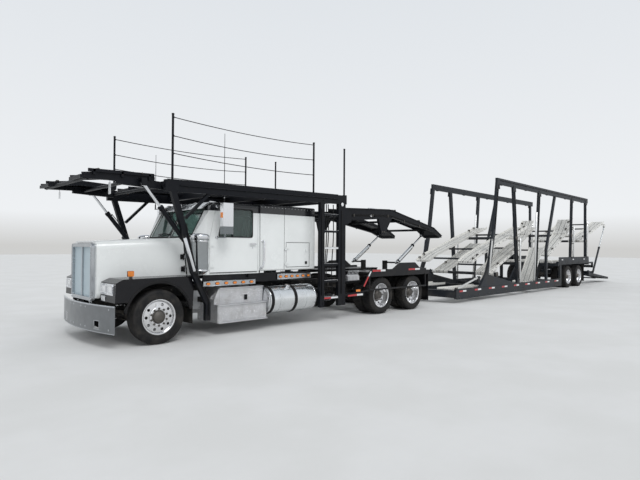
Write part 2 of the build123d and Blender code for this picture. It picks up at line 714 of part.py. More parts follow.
def hood_shell():
    lower_cut = side_plate([
        (HOOD_REAR - 100, HOOD_SKIRT + 20),
        (FENDER_BEND_X, HOOD_SKIRT),
        (HOOD_FRONT - 110, HOOD_NOSE_Z),
        (HOOD_FRONT + 100, HOOD_NOSE_Z),
        (HOOD_FRONT + 100, HOOD_NOSE_Z - 200),
        (HOOD_REAR - 100, HOOD_NOSE_Z - 200),
    ], -1200, 1200)
    rear_cut = side_plate([
        (HOOD_REAR + 80, HOOD_REAR_TOP + 50),
        (HOOD_REAR, HOOD_SKIRT),
        (HOOD_REAR - 200, HOOD_SKIRT),
        (HOOD_REAR - 200, HOOD_REAR_TOP + 50),
    ], -1200, 1200)
    air_way = extrude(grille_plane() * RectangleRounded(*grille_hole(0), GRILLE_HOLE_R), HOOD_SKIN + 10, both=True)
    return weld(hood_body(0) - hood_body(HOOD_SKIN) - lower_cut - rear_cut - air_way)


def front_fenders():
    """Skirted fenders with round arches, open below."""
    skin = FENDER_SKIN
    outline = [
        (FENDER_REAR + 20, FENDER_REAR_BOTTOM),
        (FENDER_REAR, 900),
        (FENDER_REAR + 40, FENDER_TOP + 15),
        (FENDER_BEND_X, FENDER_TOP),
        (FENDER_NOSE - 10, FENDER_TOP - 60),
        (FENDER_NOSE, FENDER_NOSE_BOTTOM),
        (FENDER_NOSE - 200, FENDER_NOSE_BOTTOM),
    ]
    inside = [
        (FENDER_REAR + 20 + skin, FENDER_REAR_BOTTOM - 60),
        (FENDER_REAR + skin, 900),
        (FENDER_REAR + 40 + skin, FENDER_TOP + 15 - skin),
        (FENDER_BEND_X, FENDER_TOP - skin),
        (FENDER_NOSE - 10 - skin, FENDER_TOP - 60 - skin),
        (FENDER_NOSE - skin, FENDER_NOSE_BOTTOM - 100),
        (FENDER_NOSE - 200, FENDER_NOSE_BOTTOM - 100),
    ]
    body = side_plate(outline, FENDER_IN, FENDER_Y)
    body -= side_plate(inside, FENDER_IN + skin, FENDER_Y - skin)
    body -= cross_rod(0, TYRE_R, FENDER_IN - 10, FENDER_Y + 10, ARCH_R)
    lip = cross_rod(0, TYRE_R, FENDER_Y - 60, FENDER_Y + 8, ARCH_R + ARCH_LIP)
    lip -= cross_rod(0, TYRE_R, FENDER_Y - 70, FENDER_Y + 20, ARCH_R)
    lip &= box(-ARCH_R - 60, ARCH_R + 60, FENDER_IN + 20, FENDER_Y + 20, FENDER_REAR_BOTTOM, 1100)
    # The hood's taper and the lamps are cut out of the fender block
    body -= hood_body(-GLASS_FIT)
    body -= headlamps()
    return both(weld(body, lip))


def grille_plane():
    """Face of the hood nose, centred on the grille."""
    return Plane((HOOD_FRONT, 0, (GRILLE_BOTTOM + GRILLE_TOP) / 2), x_dir=(0, 1, 0), z_dir=(1, 0, 0))


def grille_hole(fit):
    """Width and height inside the surround, less fit on every side."""
    return (
        2 * (GRILLE_HALF - GRILLE_FRAME - fit),
        GRILLE_TOP - GRILLE_BOTTOM - 2 * (GRILLE_FRAME + fit),
    )


def grille():
    """Bright surround with rounded corners and the hood's hinge ears."""
    outline = RectangleRounded(2 * GRILLE_HALF, GRILLE_TOP - GRILLE_BOTTOM, GRILLE_R)
    ring = extrude(grille_plane() * outline, GRILLE_T)
    hole = extrude(grille_plane() * RectangleRounded(*grille_hole(0), GRILLE_HOLE_R), GRILLE_T)
    return weld(ring - hole, both(hood_ear()))


def hood_ear():
    """Hinge ear under the hood nose."""
    y0 = RAIL_IN + HORN_W + CLEAR
    y1 = y0 + EAR_W
    ear = box(HOOD_PIVOT_X - 20, HOOD_PIVOT_X + 20, y0, y1, HOOD_PIVOT_Z, GRILLE_BOTTOM + 25)
    eye = cross_rod(HOOD_PIVOT_X, HOOD_PIVOT_Z, y0, y1, 20)
    return weld(ear, eye)[0] - cross_rod(HOOD_PIVOT_X, HOOD_PIVOT_Z, y0 - 5, y1 + 5, HOOD_PIN_R + PIN_CLEAR)


def grille_infill():
    """Two flat panels behind the surround, either side of a centre joint."""
    panel = extrude(grille_plane() * RectangleRounded(*grille_hole(GLASS_FIT), GRILLE_HOLE_R), INFILL_T)
    return (panel - box(HOOD_FRONT - 5, HOOD_FRONT + 60, -3, 3, 0, 2000)).solids()


def headlamps():
    """Rectangular lamp pods on the fender noses."""
    back = LAMP_FACE - LAMP_DEPTH
    pod = fillet(box(back, LAMP_FACE, *LAMP_Y, *LAMP_Z).edges().filter_by(Axis.X), LAMP_R)
    signal = box(back, LAMP_FACE - 2, *SIGNAL_Y, *SIGNAL_Z)
    return both([pod, signal])


# Cab


def cab_block(shrink, rear):
    """Cab body drawn in by shrink, cut square at rear: side view crossed with plan view."""
    side_view = [
        (CAB_FRONT - COWL_RAKE - shrink, CAB_FLOOR + shrink),
        (CAB_FRONT - shrink, COWL_Z - 10 - shrink),
        (SCREEN_FOOT_X - shrink, COWL_Z - shrink * 0.4),
        (SCREEN_TOP_X - shrink * 0.9, SCREEN_TOP_Z - shrink * 0.6),
        (ROOF_FRONT_X, CAB_ROOF - shrink),
        (rear, CAB_ROOF - shrink),
        (rear, CAB_FLOOR + shrink),
    ]
    plan_view = [
        (CAB_FRONT + 10, CAB_NOSE_HALF - shrink),
        (CAB_TAPER_X, CAB_Y - shrink),
        (rear - 10, CAB_Y - shrink),
        (rear - 10, -CAB_Y + shrink),
        (CAB_TAPER_X, -CAB_Y + shrink),
        (CAB_FRONT + 10, -CAB_NOSE_HALF + shrink),
    ]
    return side_plate(side_view, -CAB_Y, CAB_Y) & plan_plate(plan_view, CAB_FLOOR - 10, CAB_ROOF + 10)


def door_outline(gap):
    """Door side view, grown by gap; the front edge follows the screen pillar."""
    return [
        (DOOR_FRONT + gap, DOOR_BOTTOM - gap),
        (DOOR_FRONT + gap, WINDOW_BOTTOM - 40),
        (DOOR_FRONT - 140 + gap, DOOR_TOP + gap),
        (DOOR_REAR - gap, DOOR_TOP + gap),
        (DOOR_REAR - gap, DOOR_BOTTOM - gap),
    ]


def window_outline(gap):
    """Door window side view, grown by gap."""
    return [
        (WINDOW_FRONT + gap, WINDOW_BOTTOM - gap),
        (WINDOW_FRONT - WINDOW_RAKE + gap, WINDOW_TOP + gap),
        (WINDOW_REAR - gap, WINDOW_TOP + gap),
        (WINDOW_REAR - gap, WINDOW_BOTTOM - gap),
    ]


def screen_pane(gap, y0, y1, t0, t1):
    """Slab in the windscreen plane: gap grows its outline, t0 to t1 is depth below the surface."""
    foot, head = Vector(SCREEN_FOOT_X, 0, COWL_Z), Vector(SCREEN_TOP_X, 0, SCREEN_TOP_Z)
    along = (head - foot).normalized()
    normal = Vector(along.Z, 0, -along.X)
    length = (head - foot).length
    a, b = 60 - gap, length - 45 + gap
    corners = [foot + along * s - normal * t for s, t in ((a, t0), (b, t0), (b, t1), (a, t1))]
    return side_plate([(c.X, c.Z) for c in corners], y0 - gap, y1 + gap)


def cab_shell():
    skin = cab_block(0, CAB_REAR)
    skin = fillet(skin.edges().filter_by(Axis.X).group_by(Axis.Z)[-1], ROOF_R)
    shell = skin - cab_block(WALL, CAB_REAR - 50)
    for side in (1, -1):
        shell -= side_plate(door_outline(DOOR_GAP), side * (CAB_Y - 2 * WALL), side * (CAB_Y + 10))
        shell -= screen_pane(0, *sorted((side * 40, side * SCREEN_HALF)), -20, 90)
    ear = [door_hinge_pin(z) for z in DOOR_HINGE_Z]
    return weld(shell, both(ear))


def door_hinge_pin(z):
    """Fixed half of a door hinge: bracket on the pillar and its pin."""
    x, y = DOOR_HINGE_X, DOOR_HINGE_Y
    bracket = box(x - 2, x + 50, CAB_Y - 8, y + 8, z - 60, z - 32)
    eye = rod((x, y, z - 60), (x, y, z - 32), HINGE_EAR_R)
    return weld(bracket, eye, rod((x, y, z - 40), (x, y, z + 30), HINGE_PIN_R))[0]


def door(side):
    panel = side_plate(door_outline(0), CAB_Y - WALL, CAB_Y)
    panel -= side_plate(window_outline(0), CAB_Y - WALL - 5, CAB_Y + 5)
    x, y = DOOR_HINGE_X, DOOR_HINGE_Y
    knuckles = []
    for z in DOOR_HINGE_Z:
        barrel = rod((x, y, z - 31), (x, y, z + 30), HINGE_EAR_R)
        leaf = box(x - 70, x, y - 6, y + 6, z - 31, z + 30)
        foot = box(x - 100, x - 40, CAB_Y - 5, y + 6, z - 31, z + 30)
        knuckles += [barrel, leaf, foot]
    bores = [rod((x, y, z - 40), (x, y, z + 40), HINGE_PIN_R + HINGE_FIT) for z in DOOR_HINGE_Z]
    handle = box(DOOR_REAR + 60, DOOR_REAR + 190, CAB_Y - 5, CAB_Y + 30, 1700, 1730)
    solid = weld(panel, knuckles, handle)
    return [handed(s - bores, side) for s in solid]


def door_glass(side):
    y = CAB_Y - WALL / 2
    return [handed(side_plate(window_outline(-GLASS_FIT), y - GLASS_T / 2, y + GLASS_T / 2), side)]


def mirror_assembly(side):
    """Tall mirror on two arms from the door."""
    x, y = MIRROR_STEM
    low, high = MIRROR_ARM_Z
    head = fillet(box(*MIRROR_X, *MIRROR_Y, *MIRROR_Z).edges(), MIRROR_R)
    arms = [rod((MIRROR_ARM_FOOT_X, CAB_Y - 2, z), (x, y, z), MIRROR_ARM_R) for z in MIRROR_ARM_Z]
    stem = rod((x, y, low), (x, y, high), MIRROR_ARM_R)
    foot = rod((x, y, low - 10), (x, y, low + 70), MIRROR_ARM_R + 3)
    return [handed(s, side) for s in weld(head, arms, stem, foot)]


def cab_glass():
    return both(screen_pane(-GLASS_FIT, 40, SCREEN_HALF, 14, 14 + GLASS_T))


def sun_visor():
    """Bent visor standing on the roof edge, ahead of the screen."""
    seat = ROOF_FRONT_X + 30
    path = [
        (seat - 130, CAB_ROOF + VISOR_T),
        (seat, CAB_ROOF + VISOR_T),
        (ROOF_FRONT_X + VISOR_REACH, CAB_ROOF + VISOR_T - VISOR_DROP),
    ]
    return ribbon(path, VISOR_T, -VISOR_HALF, VISOR_HALF).solids()


def seats():
    """Driver and passenger seats on pedestals."""
    rear, base = SEAT_X[0], SEAT_Z[1] - 40
    cushion = fillet(box(*SEAT_X, *SEAT_Y, *SEAT_Z).edges().group_by(Axis.Z)[-1], SEAT_R)
    back = side_plate([
        (rear + 10, base),
        (rear + 130, base),
        (rear + 10, SEAT_BACK_TOP),
        (rear - 100, SEAT_BACK_TOP),
    ], SEAT_Y[0] + 10, SEAT_Y[1] - 10)
    back = fillet(back.edges().group_by(Axis.Z)[-1], SEAT_R)
    pedestal = box(*PEDESTAL_X, *PEDESTAL_Y, CAB_FLOOR + WALL, SEAT_Z[0] + 10)
    return both(weld(cushion, back, pedestal)[0])


def dashboard():
    """Full-width dash on the firewall with the steering column."""
    dash = side_plate([
        (CAB_FRONT - 150, 1480), (CAB_FRONT - 120, COWL_Z - 70), (-880, COWL_Z - 40),
        (-1040, 1700), (-1020, 1560), (-900, 1480),
    ], -CAB_Y, CAB_Y) & cab_block(WALL, CAB_REAR)
    tip, start, end = [steer_axis_point(d) for d in (10, STEER_HUB + 2, 390)]
    shroud = box(-1010, -800, STEER_Y - 60, STEER_Y + 60, 1440, 1560)
    return weld(dash, rod(start, end, 32), rod(tip, end, STEER_SHAFT_R), shroud)


def steer_axis_point(depth):
    """Point on the steering column's axis, at a depth below the wheel's centre."""
    slope = radians(STEER_TILT)
    return (STEER_X + sin(slope) * depth, STEER_Y, STEER_Z - cos(slope) * depth)


def steering_wheel():
    tilt = Pos(STEER_X, STEER_Y, STEER_Z) * Rot(0, -STEER_TILT, 0)
    rim = Torus(STEER_RING_R, 15)
    hub = Pos(0, 0, -STEER_HUB / 2) * Cylinder(45, STEER_HUB)
    spokes = [Rot(0, 0, a) * box(30, STEER_RING_R - 5, -16, 16, -12, 2) for a in (90, 210, 330)]
    bore = rod(steer_axis_point(8), steer_axis_point(STEER_HUB + 5), STEER_SHAFT_R + PIN_CLEAR)
    return [tilt * s - bore for s in weld(rim, hub, spokes)]


def sleeper_shell():
    """Hollow sleeper box, open towards the cab, with a locker door opening each side."""
    shell = box(SLEEPER_REAR, CAB_REAR, -SLEEPER_Y, SLEEPER_Y, SLEEPER_FLOOR, SLEEPER_ROOF)
    shell = fillet(shell.edges().filter_by(Axis.X), 40)
    shell -= box(
        SLEEPER_REAR + WALL, CAB_REAR + 50, -SLEEPER_Y + WALL, SLEEPER_Y - WALL,
        SLEEPER_FLOOR + WALL, SLEEPER_ROOF - WALL,
    )
    for side in (1, -1):
        shell -= box(
            LOCKER_REAR - DOOR_GAP, LOCKER_FRONT + DOOR_GAP, side * (SLEEPER_Y - 2 * WALL),
            side * (SLEEPER_Y + 5), LOCKER_BOTTOM - DOOR_GAP, LOCKER_TOP + DOOR_GAP,
        )
    pins = [locker_pin(z) for z in LOCKER_HINGE_Z]
    return weld(shell, both(pins))


def locker_pin(z):
    """Fixed half of a locker hinge: bracket on the sleeper's wall and its pin."""
    x, y = LOCKER_HINGE_X, LOCKER_HINGE_Y
    bracket = box(x - 2, x + 40, SLEEPER_Y - 8, y + 8, z - 45, z - 22)
    eye = rod((x, y, z - 45), (x, y, z - 22), HINGE_EAR_R)
    return weld(bracket, eye, rod((x, y, z - 30), (x, y, z + 20), HINGE_PIN_R))[0]


def locker_door(side):
    panel = box(LOCKER_REAR, LOCKER_FRONT, SLEEPER_Y - WALL, SLEEPER_Y, LOCKER_BOTTOM, LOCKER_TOP)
    x, y = LOCKER_HINGE_X, LOCKER_HINGE_Y
    knuckles = []
    for z in LOCKER_HINGE_Z:
        knuckles += [
            rod((x, y, z - 21), (x, y, z + 20), HINGE_EAR_R),
            box(x - 60, x, y - 6, y + 6, z - 21, z + 20),
            box(x - 80, x - 30, SLEEPER_Y - 5, y + 6, z - 21, z + 20),
        ]
    bores = [rod((x, y, z - 30), (x, y, z + 30), HINGE_PIN_R + HINGE_FIT) for z in LOCKER_HINGE_Z]
    latch = box(LOCKER_REAR + 30, LOCKER_REAR + 110, SLEEPER_Y - 5, SLEEPER_Y + 12, 1560, 1620)
    return [handed(s - bores, side) for s in weld(panel, knuckles, latch)]


# Side equipment


def air_cleaners():
    """Round canisters beside the cowl, each on two arms to its slanted side."""
    profile = Polyline(
        (0, CLEANER_BOTTOM),
        (CLEANER_R - 95, CLEANER_BOTTOM),
        (CLEANER_R, CLEANER_BOTTOM + 65),
        (CLEANER_R, CLEANER_TOP - 90),
        (CLEANER_CAP_R, CLEANER_TOP - 80),
        (CLEANER_CAP_R, CLEANER_TOP - 30),
        (CLEANER_R - 35, CLEANER_TOP),
        (0, CLEANER_TOP),
        close=True,
    )
    can = Pos(CLEANER_X, CLEANER_Y) * revolve(Plane.XZ * make_face(profile), Axis.Z)
    nose = Vector(CAB_FRONT + 10, CAB_NOSE_HALF)
    along = (Vector(CAB_TAPER_X, CAB_Y) - nose).normalized()
    centre = Vector(CLEANER_X, CLEANER_Y)
    foot = nose + along * along.dot(centre - nose)
    arms = [
        rod((centre.X, centre.Y, z), (foot.X, foot.Y, z), 30)
        for z in (CLEANER_BOTTOM + 160, CLEANER_TOP - 160)
    ]
    return both(weld(can, arms)[0])


def tool_boxes():
    """Stepped tread-plate boxes below the doors."""
    front = side_plate([
        (BOX_FRONT - 110, BOX_TOP), (BOX_FRONT, BOX_TOP - 220), (BOX_FRONT, BOX_BOTTOM),
        (BOX_REAR, BOX_BOTTOM), (BOX_REAR, BOX_TOP),
    ], RAIL_Y, BOX_FACE_Y)
    step = box(BOX_REAR - 1, BOX_FRONT + 1, BOX_FACE_Y - 130, BOX_FACE_Y + 1, 560, BOX_TOP + 1)
    return both(weld(front - step)[0])


def fuel_tanks():
    tank = rod((TANK_REAR, TANK_Y, TANK_Z), (TANK_FRONT, TANK_Y, TANK_Z), TANK_R)
    tank = fillet(tank.edges().filter_by(GeomType.CIRCLE), TANK_EDGE_R)
    straps = [
        box(x - 30, x + 30, RAIL_Y, TANK_Y, TANK_Z - TANK_R - 6, TANK_Z + 60)
        + rod((x - 30, TANK_Y, TANK_Z), (x + 30, TANK_Y, TANK_Z), TANK_R + 6)
        for x in (TANK_FRONT - 280, TANK_REAR + 280)
    ]
    return both(weld(tank, straps)[0])


def side_skirts():
    """Panel under cab and sleeper with a stepped strip on it."""
    rear, front = SKIRT_X
    skirt = box(rear, front, CAB_Y - 60, CAB_Y - 20, SKIRT_BOTTOM, CAB_FLOOR)
    strips = [
        box(x0, x1, CAB_Y - 25, CAB_Y + 5, z0, z1)
        for x0, x1, z0, z1 in ((-2110, front + 10, 920, 1010), (rear + 10, -2680, 985, 1090))
    ]
    return both(weld(skirt, strips)[0])


def drive_fenders():
    """Flat covers and side valances over the drive wheels, with a guard bar outside them."""
    front, rear = DRIVE_X[0] + 545, DRIVE_X[1] - 565
    cover = box(rear, front, RAIL_Y + 5, VALANCE_OUT, COVER_TOP - COVER_T, COVER_TOP)
    valance = side_plate([
        (rear, VALANCE_BOTTOM),
        (rear, COVER_TOP + 45),
        (front - 62, COVER_TOP + 45),
        (front + 218, VALANCE_TOE),
        (front + 150, VALANCE_TOE),
        (front - 20, VALANCE_BOTTOM),
    ], VALANCE_IN, VALANCE_OUT)
    peak = side_plate([
        (DRIVE_X[1] + 950, COVER_TOP + 40),
        (DRIVE_X[1] + 660, PEAK_TOP),
        (DRIVE_X[1] - 40, PEAK_TOP),
        (DRIVE_X[1] - 280, COVER_TOP + 40),
    ], VALANCE_IN, VALANCE_OUT)
    bar_y = DRIVE_FACE_Y + 45
    bar = rod((rear + 40, bar_y, GUARD_BAR_Z), (front, bar_y, GUARD_BAR_Z), 22)
    hangers = [
        box(x - 15, x + 15, VALANCE_IN, bar_y + 5, GUARD_BAR_Z - 10, VALANCE_BOTTOM + 15)
        for x in (front - 20, rear + 60)
    ]
    brackets = [
        box(x - 30, x + 30, RAIL_Y, RAIL_Y + 60, RAIL_TOP - 60, COVER_TOP - 5)
        for x in (front - 60, (DRIVE_X[0] + DRIVE_X[1]) / 2, rear + 60)
    ]
    flap = box(rear - 165, rear - 150, 640, DRIVE_FACE_Y, 200, 960)
    flap_arm = box(rear - 175, rear + 10, 600, DRIVE_FACE_Y + 30, 940, COVER_TOP - 5)
    return both(weld(cover, valance, peak, bar, hangers, brackets, flap, flap_arm)[0])


# Rack over the cab


def rack_top(x):
    """Height of the rack rail's top at x."""
    share = (x - RACK_FRONT) / (RACK_REAR - RACK_FRONT)
    return RACK_FRONT_TOP + share * (RACK_REAR_TOP - RACK_FRONT_TOP)


def head_rack():
    y0, y1 = RACK_Y - RACK_T, RACK_Y
    rail = ribbon([(RACK_FRONT, RACK_FRONT_TOP), (RACK_REAR, RACK_REAR_TOP)], RACK_DEPTH, y0, y1)
    leg_path = [
        (RACK_FRONT - 120, RACK_FRONT_TOP - 90),
        HEAD_CYL_FOOT,
        (-580, 1220),
        (OUTRIGGER_FRONT, 640),
        (OUTRIGGER_FRONT, LADDER_FOOT_Z - 10),
    ]
    legs = [member(leg_path[i], leg_path[i + 1], LEG_W, y0, y1) for i in range(len(leg_path) - 1)]
    joints = [cross_rod(x, z, y0, y1, LEG_W / 2) for x, z in leg_path[1:-1]]
    brace = member((-420, 2150), (-900, rack_top(-900) - RACK_DEPTH + 20), 50, y0 + 10, y1 - 10)
    lug = cross_rod(*HEAD_CYL_FOOT, HEAD_CYL_Y - 38, y1, FOOT_PIN_R)
    columns = [
        box(x - w / 2, x + w / 2, y0, y1, LADDER_FOOT_Z, rack_top(x) - 50)
        for x, w in ((LADDER_FRONT, LADDER_FRONT_W), (LADDER_REAR, LADDER_REAR_W))
    ]
    rungs = [
        box(LADDER_REAR, LADDER_FRONT, y0 + 10, y1 - 10, z - 22, z + 22)
        for z in (RUNG_BOTTOM + i * RUNG_STEP for i in range(RUNGS))
    ]
    outers = both([rail, brace, lug] + legs + joints + columns + rungs)
    crosses = [
        box(x - 50, x + 50, -y0 - 5, y0 + 5, rack_top(x) - 150, rack_top(x) - 30)
        for x in RACK_CROSS_X
    ]
    runway = [(x, rack_top(x) + RACK_TRACK_RISE) for x in (RACK_TRACK_FRONT, RACK_REAR + 60)]
    pivot = cross_rod(*HEAD_PIVOT, -y0 - 5, y0 + 5, HEAD_PIN_R)
    post_y = RACK_Y - RACK_T / 2
    posts = [rod((x, post_y, rack_top(x) - 20), (x, post_y, GUARD_TOP), GUARD_POST_R) for x in GUARD_X]
    deck_pin = cross_rod(*TRUCK_PIVOT, -y1, y1, DECK_PIN_R)
    pin_x, pin_z = TRUCK_PIVOT
    pin_plates = side_plate([
        (RACK_REAR + 100, pin_z - 200),
        (pin_x - 60, pin_z - 100),
        (pin_x - 60, pin_z + 100),
        (RACK_REAR + 100, pin_z + 250),
    ], y0, y1)
    return weld(outers, crosses, track_pair(runway, 45), pivot, both(posts), deck_pin, both(pin_plates))


# Hydraulic cylinders


def toward(start, end, distance):
    """Point at a distance from start towards end, in side view."""
    dx, dz = end[0] - start[0], end[1] - start[1]
    span = hypot(dx, dz)
    return (start[0] + dx * distance / span, start[1] + dz * distance / span)


def cylinder_barrel(foot, eye, y, shown):
    """Barrel with an eye at its foot, bored for the piston rod, of which shown is left out."""
    length = hypot(eye[0] - foot[0], eye[1] - foot[1]) - shown
    start, end = toward(foot, eye, 20), toward(foot, eye, length)
    tube = rod((start[0], y, start[1]), (end[0], y, end[1]), BARREL_R)
    floor = toward(foot, eye, 110)
    mouth = toward(foot, eye, length + 10)
    bore = rod((floor[0], y, floor[1]), (mouth[0], y, mouth[1]), ROD_R + PIN_CLEAR)
    lug = cross_rod(*foot, y - EYE_W / 2, y + EYE_W / 2, EYE_R)
    hole = cross_rod(*foot, y - EYE_W, y + EYE_W, FOOT_PIN_R + PIN_CLEAR)
    return weld(tube, lug)[0].cut(hole, bore).solids()


def cylinder_rod(foot, eye, y, shown, held):
    """Piston rod to its eye, with the length held inside the barrel."""
    start = toward(eye, foot, shown + held)
    shaft = rod((start[0], y, start[1]), (eye[0], y, eye[1]), ROD_R)
    end = cross_rod(*eye, y - EYE_W / 2, y + EYE_W / 2, EYE_R)
    hole = cross_rod(*eye, y - EYE_W, y + EYE_W, EYE_BORE_R)
    return weld(shaft, end)[0].cut(hole).solids()


def cheek_end(y):
    """Outer face of the plates beside a rod eye at y."""
    return y + EYE_W / 2 + CLEAR + CHEEK_T


def eye_cheeks(eye, y, rise):
    """Pair of plates beside a rod eye, reaching up by rise to the deck."""
    x0, x1 = eye[0] - CHEEK_W / 2, eye[0] + CHEEK_W / 2
    return [
        box(x0, x1, y0, y0 + CHEEK_T, eye[1] - EYE_R, eye[1] + rise)
        for y0 in (y - EYE_W / 2 - CLEAR - CHEEK_T, y + EYE_W / 2 + CLEAR)
    ]


# Decks


def track_pair(path, thickness=TRACK_T):
    """Left and right wheel tracks along a side-view path: plates with folded flanges, closed at both ends."""
    plate = ribbon(path, thickness, TRACK_IN, TRACK_OUT)
    below = [(x, z - TRACK_PLATE) for x, z in path]
    inside = ribbon(below, thickness, TRACK_IN + TRACK_PLATE, TRACK_OUT - TRACK_PLATE)
    ends = [x for x, z in path]
    inside &= box(min(ends) + TRACK_END, max(ends) - TRACK_END, 0, 2 * TRACK_OUT, 0, 2 * TOP_RAIL_FRONT_Z)
    return both(plate - inside)


def from_pivot(pivot, offsets):
    """Side-view points from (along, up) offsets to a pivot."""
    return [(pivot[0] + x, pivot[1] + z) for x, z in offsets]


def track_ties(path, places, half=TRACK_IN + 10):
    """Cross ties under the tracks at the given X places."""
    ties = []
    for x in places:
        i = next(k for k in range(len(path) - 1) if (path[k][0] - x) * (path[k + 1][0] - x) <= 0)
        (xa, za), (xb, zb) = path[i], path[i + 1]
        z = za + (zb - za) * (x - xa) / (xb - xa)
        low = z - TRACK_T - TIE_DROP
        ties.append(box(x - TIE_W / 2, x + TIE_W / 2, -half, half, low, low + TIE_H))
    return ties


def head_ramp():
    path = from_pivot(HEAD_PIVOT, [(140, 100), (780, 130), (1340, 60)])
    arm_in = TRACK_OUT - 60
    arms = both(member(HEAD_PIVOT, *from_pivot(HEAD_PIVOT, [(780, 30)]), 130, arm_in, TRACK_OUT))
    arms += both(member(*from_pivot(HEAD_PIVOT, [(700, 50), (1260, 35)]), 70, arm_in, TRACK_OUT))
    ties = [
        cross_rod(x, z, -TRACK_OUT + 20, TRACK_OUT - 20, 30)
        for x, z in from_pivot(HEAD_PIVOT, [(580, 20), (1230, 20)])
    ]
    bosses = both(cross_rod(*HEAD_PIVOT, arm_in, TRACK_OUT, 62))
    cheeks = both(eye_cheeks(HEAD_CYL_EYE, HEAD_CYL_Y, 60))
    eye_x, eye_z = HEAD_CYL_EYE
    x0, x1 = eye_x - CHEEK_W / 2, eye_x + CHEEK_W / 2
    shelf = both(box(x0, x1, TRACK_OUT - 20, cheek_end(HEAD_CYL_Y), eye_z + 55, eye_z + 85))
    bore = cross_rod(*HEAD_PIVOT, -RACK_Y, RACK_Y, HEAD_PIN_R + PIN_CLEAR)
    return [s - bore for s in weld(track_pair(path), arms, ties, bosses, cheeks, shelf)]


def truck_deck():
    """Humped deck over the drive axles; its rear half follows the last axle."""
    pin_x, pin_z = TRUCK_PIVOT
    rear_x, crest_x = DRIVE_X[1] - 1551, DRIVE_X[0] - 507
    knee_x = rear_x + 420
    path = [(pin_x - 60, pin_z + 210), (crest_x, pin_z + 270), (knee_x, pin_z - 130), (rear_x, pin_z - 350)]
    slot_at = (pin_x - 1020, TRACK_OUT + TRUCK_SIDE_T + 5, pin_z + 105)
    slot_face = Plane(slot_at, x_dir=(1, 0, 0), z_dir=(0, -1, 0))
    slot = extrude(slot_face * SlotOverall(TRUCK_SLOT_L, TRUCK_SLOT_H), TRUCK_SIDE_T + 10)
    side = both(side_plate([
        (pin_x + 60, pin_z + 70),
        (pin_x + 60, pin_z + 210),
        (crest_x, pin_z + 280),
        (knee_x, pin_z - 120),
        (rear_x, pin_z - 340),
        (rear_x, pin_z - 390),
        (knee_x + 20, pin_z - 230),
        (crest_x - 30, pin_z + 90),
        (crest_x + 270, pin_z - 350),
        (crest_x + 410, pin_z - 350),
        (crest_x + 520, pin_z + 30),
        (pin_x + 60, pin_z - 70),
    ], TRACK_OUT, TRACK_OUT + TRUCK_SIDE_T) - slot)
    ties = track_ties(path, (pin_x - 160, crest_x + 370, crest_x - 830, knee_x + 70), TRACK_OUT + 10)
    cheeks = both(eye_cheeks(TRUCK_CYL_EYE, TRUCK_CYL_Y, 175))
    bore = cross_rod(*TRUCK_PIVOT, -RACK_Y, RACK_Y, DECK_PIN_R + PIN_CLEAR)
    return [s - bore for s in weld(track_pair(path), side, ties, cheeks)]


def deck_tracks(name):
    """Tracks and cross ties of a row of the deck table."""
    pivot, offsets, tie_offsets = DECKS[name]
    path = from_pivot(pivot, offsets)
    return track_pair(path) + track_ties(path, [pivot[0] + x for x in tie_offsets])


def hung_deck(name, *extra):
    """Track deck on a cross tube that turns on the side frames' pins."""
    pivot = DECKS[name][0]
    tube = cross_rod(*pivot, -DECK_TUBE_Y, DECK_TUBE_Y, DECK_TUBE_R)
    inner = DECK_TUBE_Y - DECK_PIN_REACH - 5
    bores = both(cross_rod(*pivot, inner, DECK_TUBE_Y + 10, DECK_PIN_R + PIN_CLEAR))
    return [s - bores for s in weld(deck_tracks(name), tube, *extra)]


def tail_deck():
    """Rearmost upper deck, with the plates that take the cylinder eyes."""
    eye_x, eye_z = TAIL_CYL_EYE
    cheeks = both(eye_cheeks(TAIL_CYL_EYE, TAIL_CYL_Y, 150))
    x0, x1 = eye_x - CHEEK_W / 2, eye_x + CHEEK_W / 2
    shelf = both(box(x0, x1, TRACK_OUT - 10, cheek_end(TAIL_CYL_Y), eye_z + 90, eye_z + 145))
    return hung_deck("tail_deck", cheeks, shelf)


def tail_ramp():
    tube = cross_rod(*RAMP_PIVOT, -RAMP_TUBE_Y, RAMP_TUBE_Y, RAMP_TUBE_R)
    return weld(deck_tracks("tail_ramp"), tube)


# Trailer, drawn with its coupling pin at X = 0


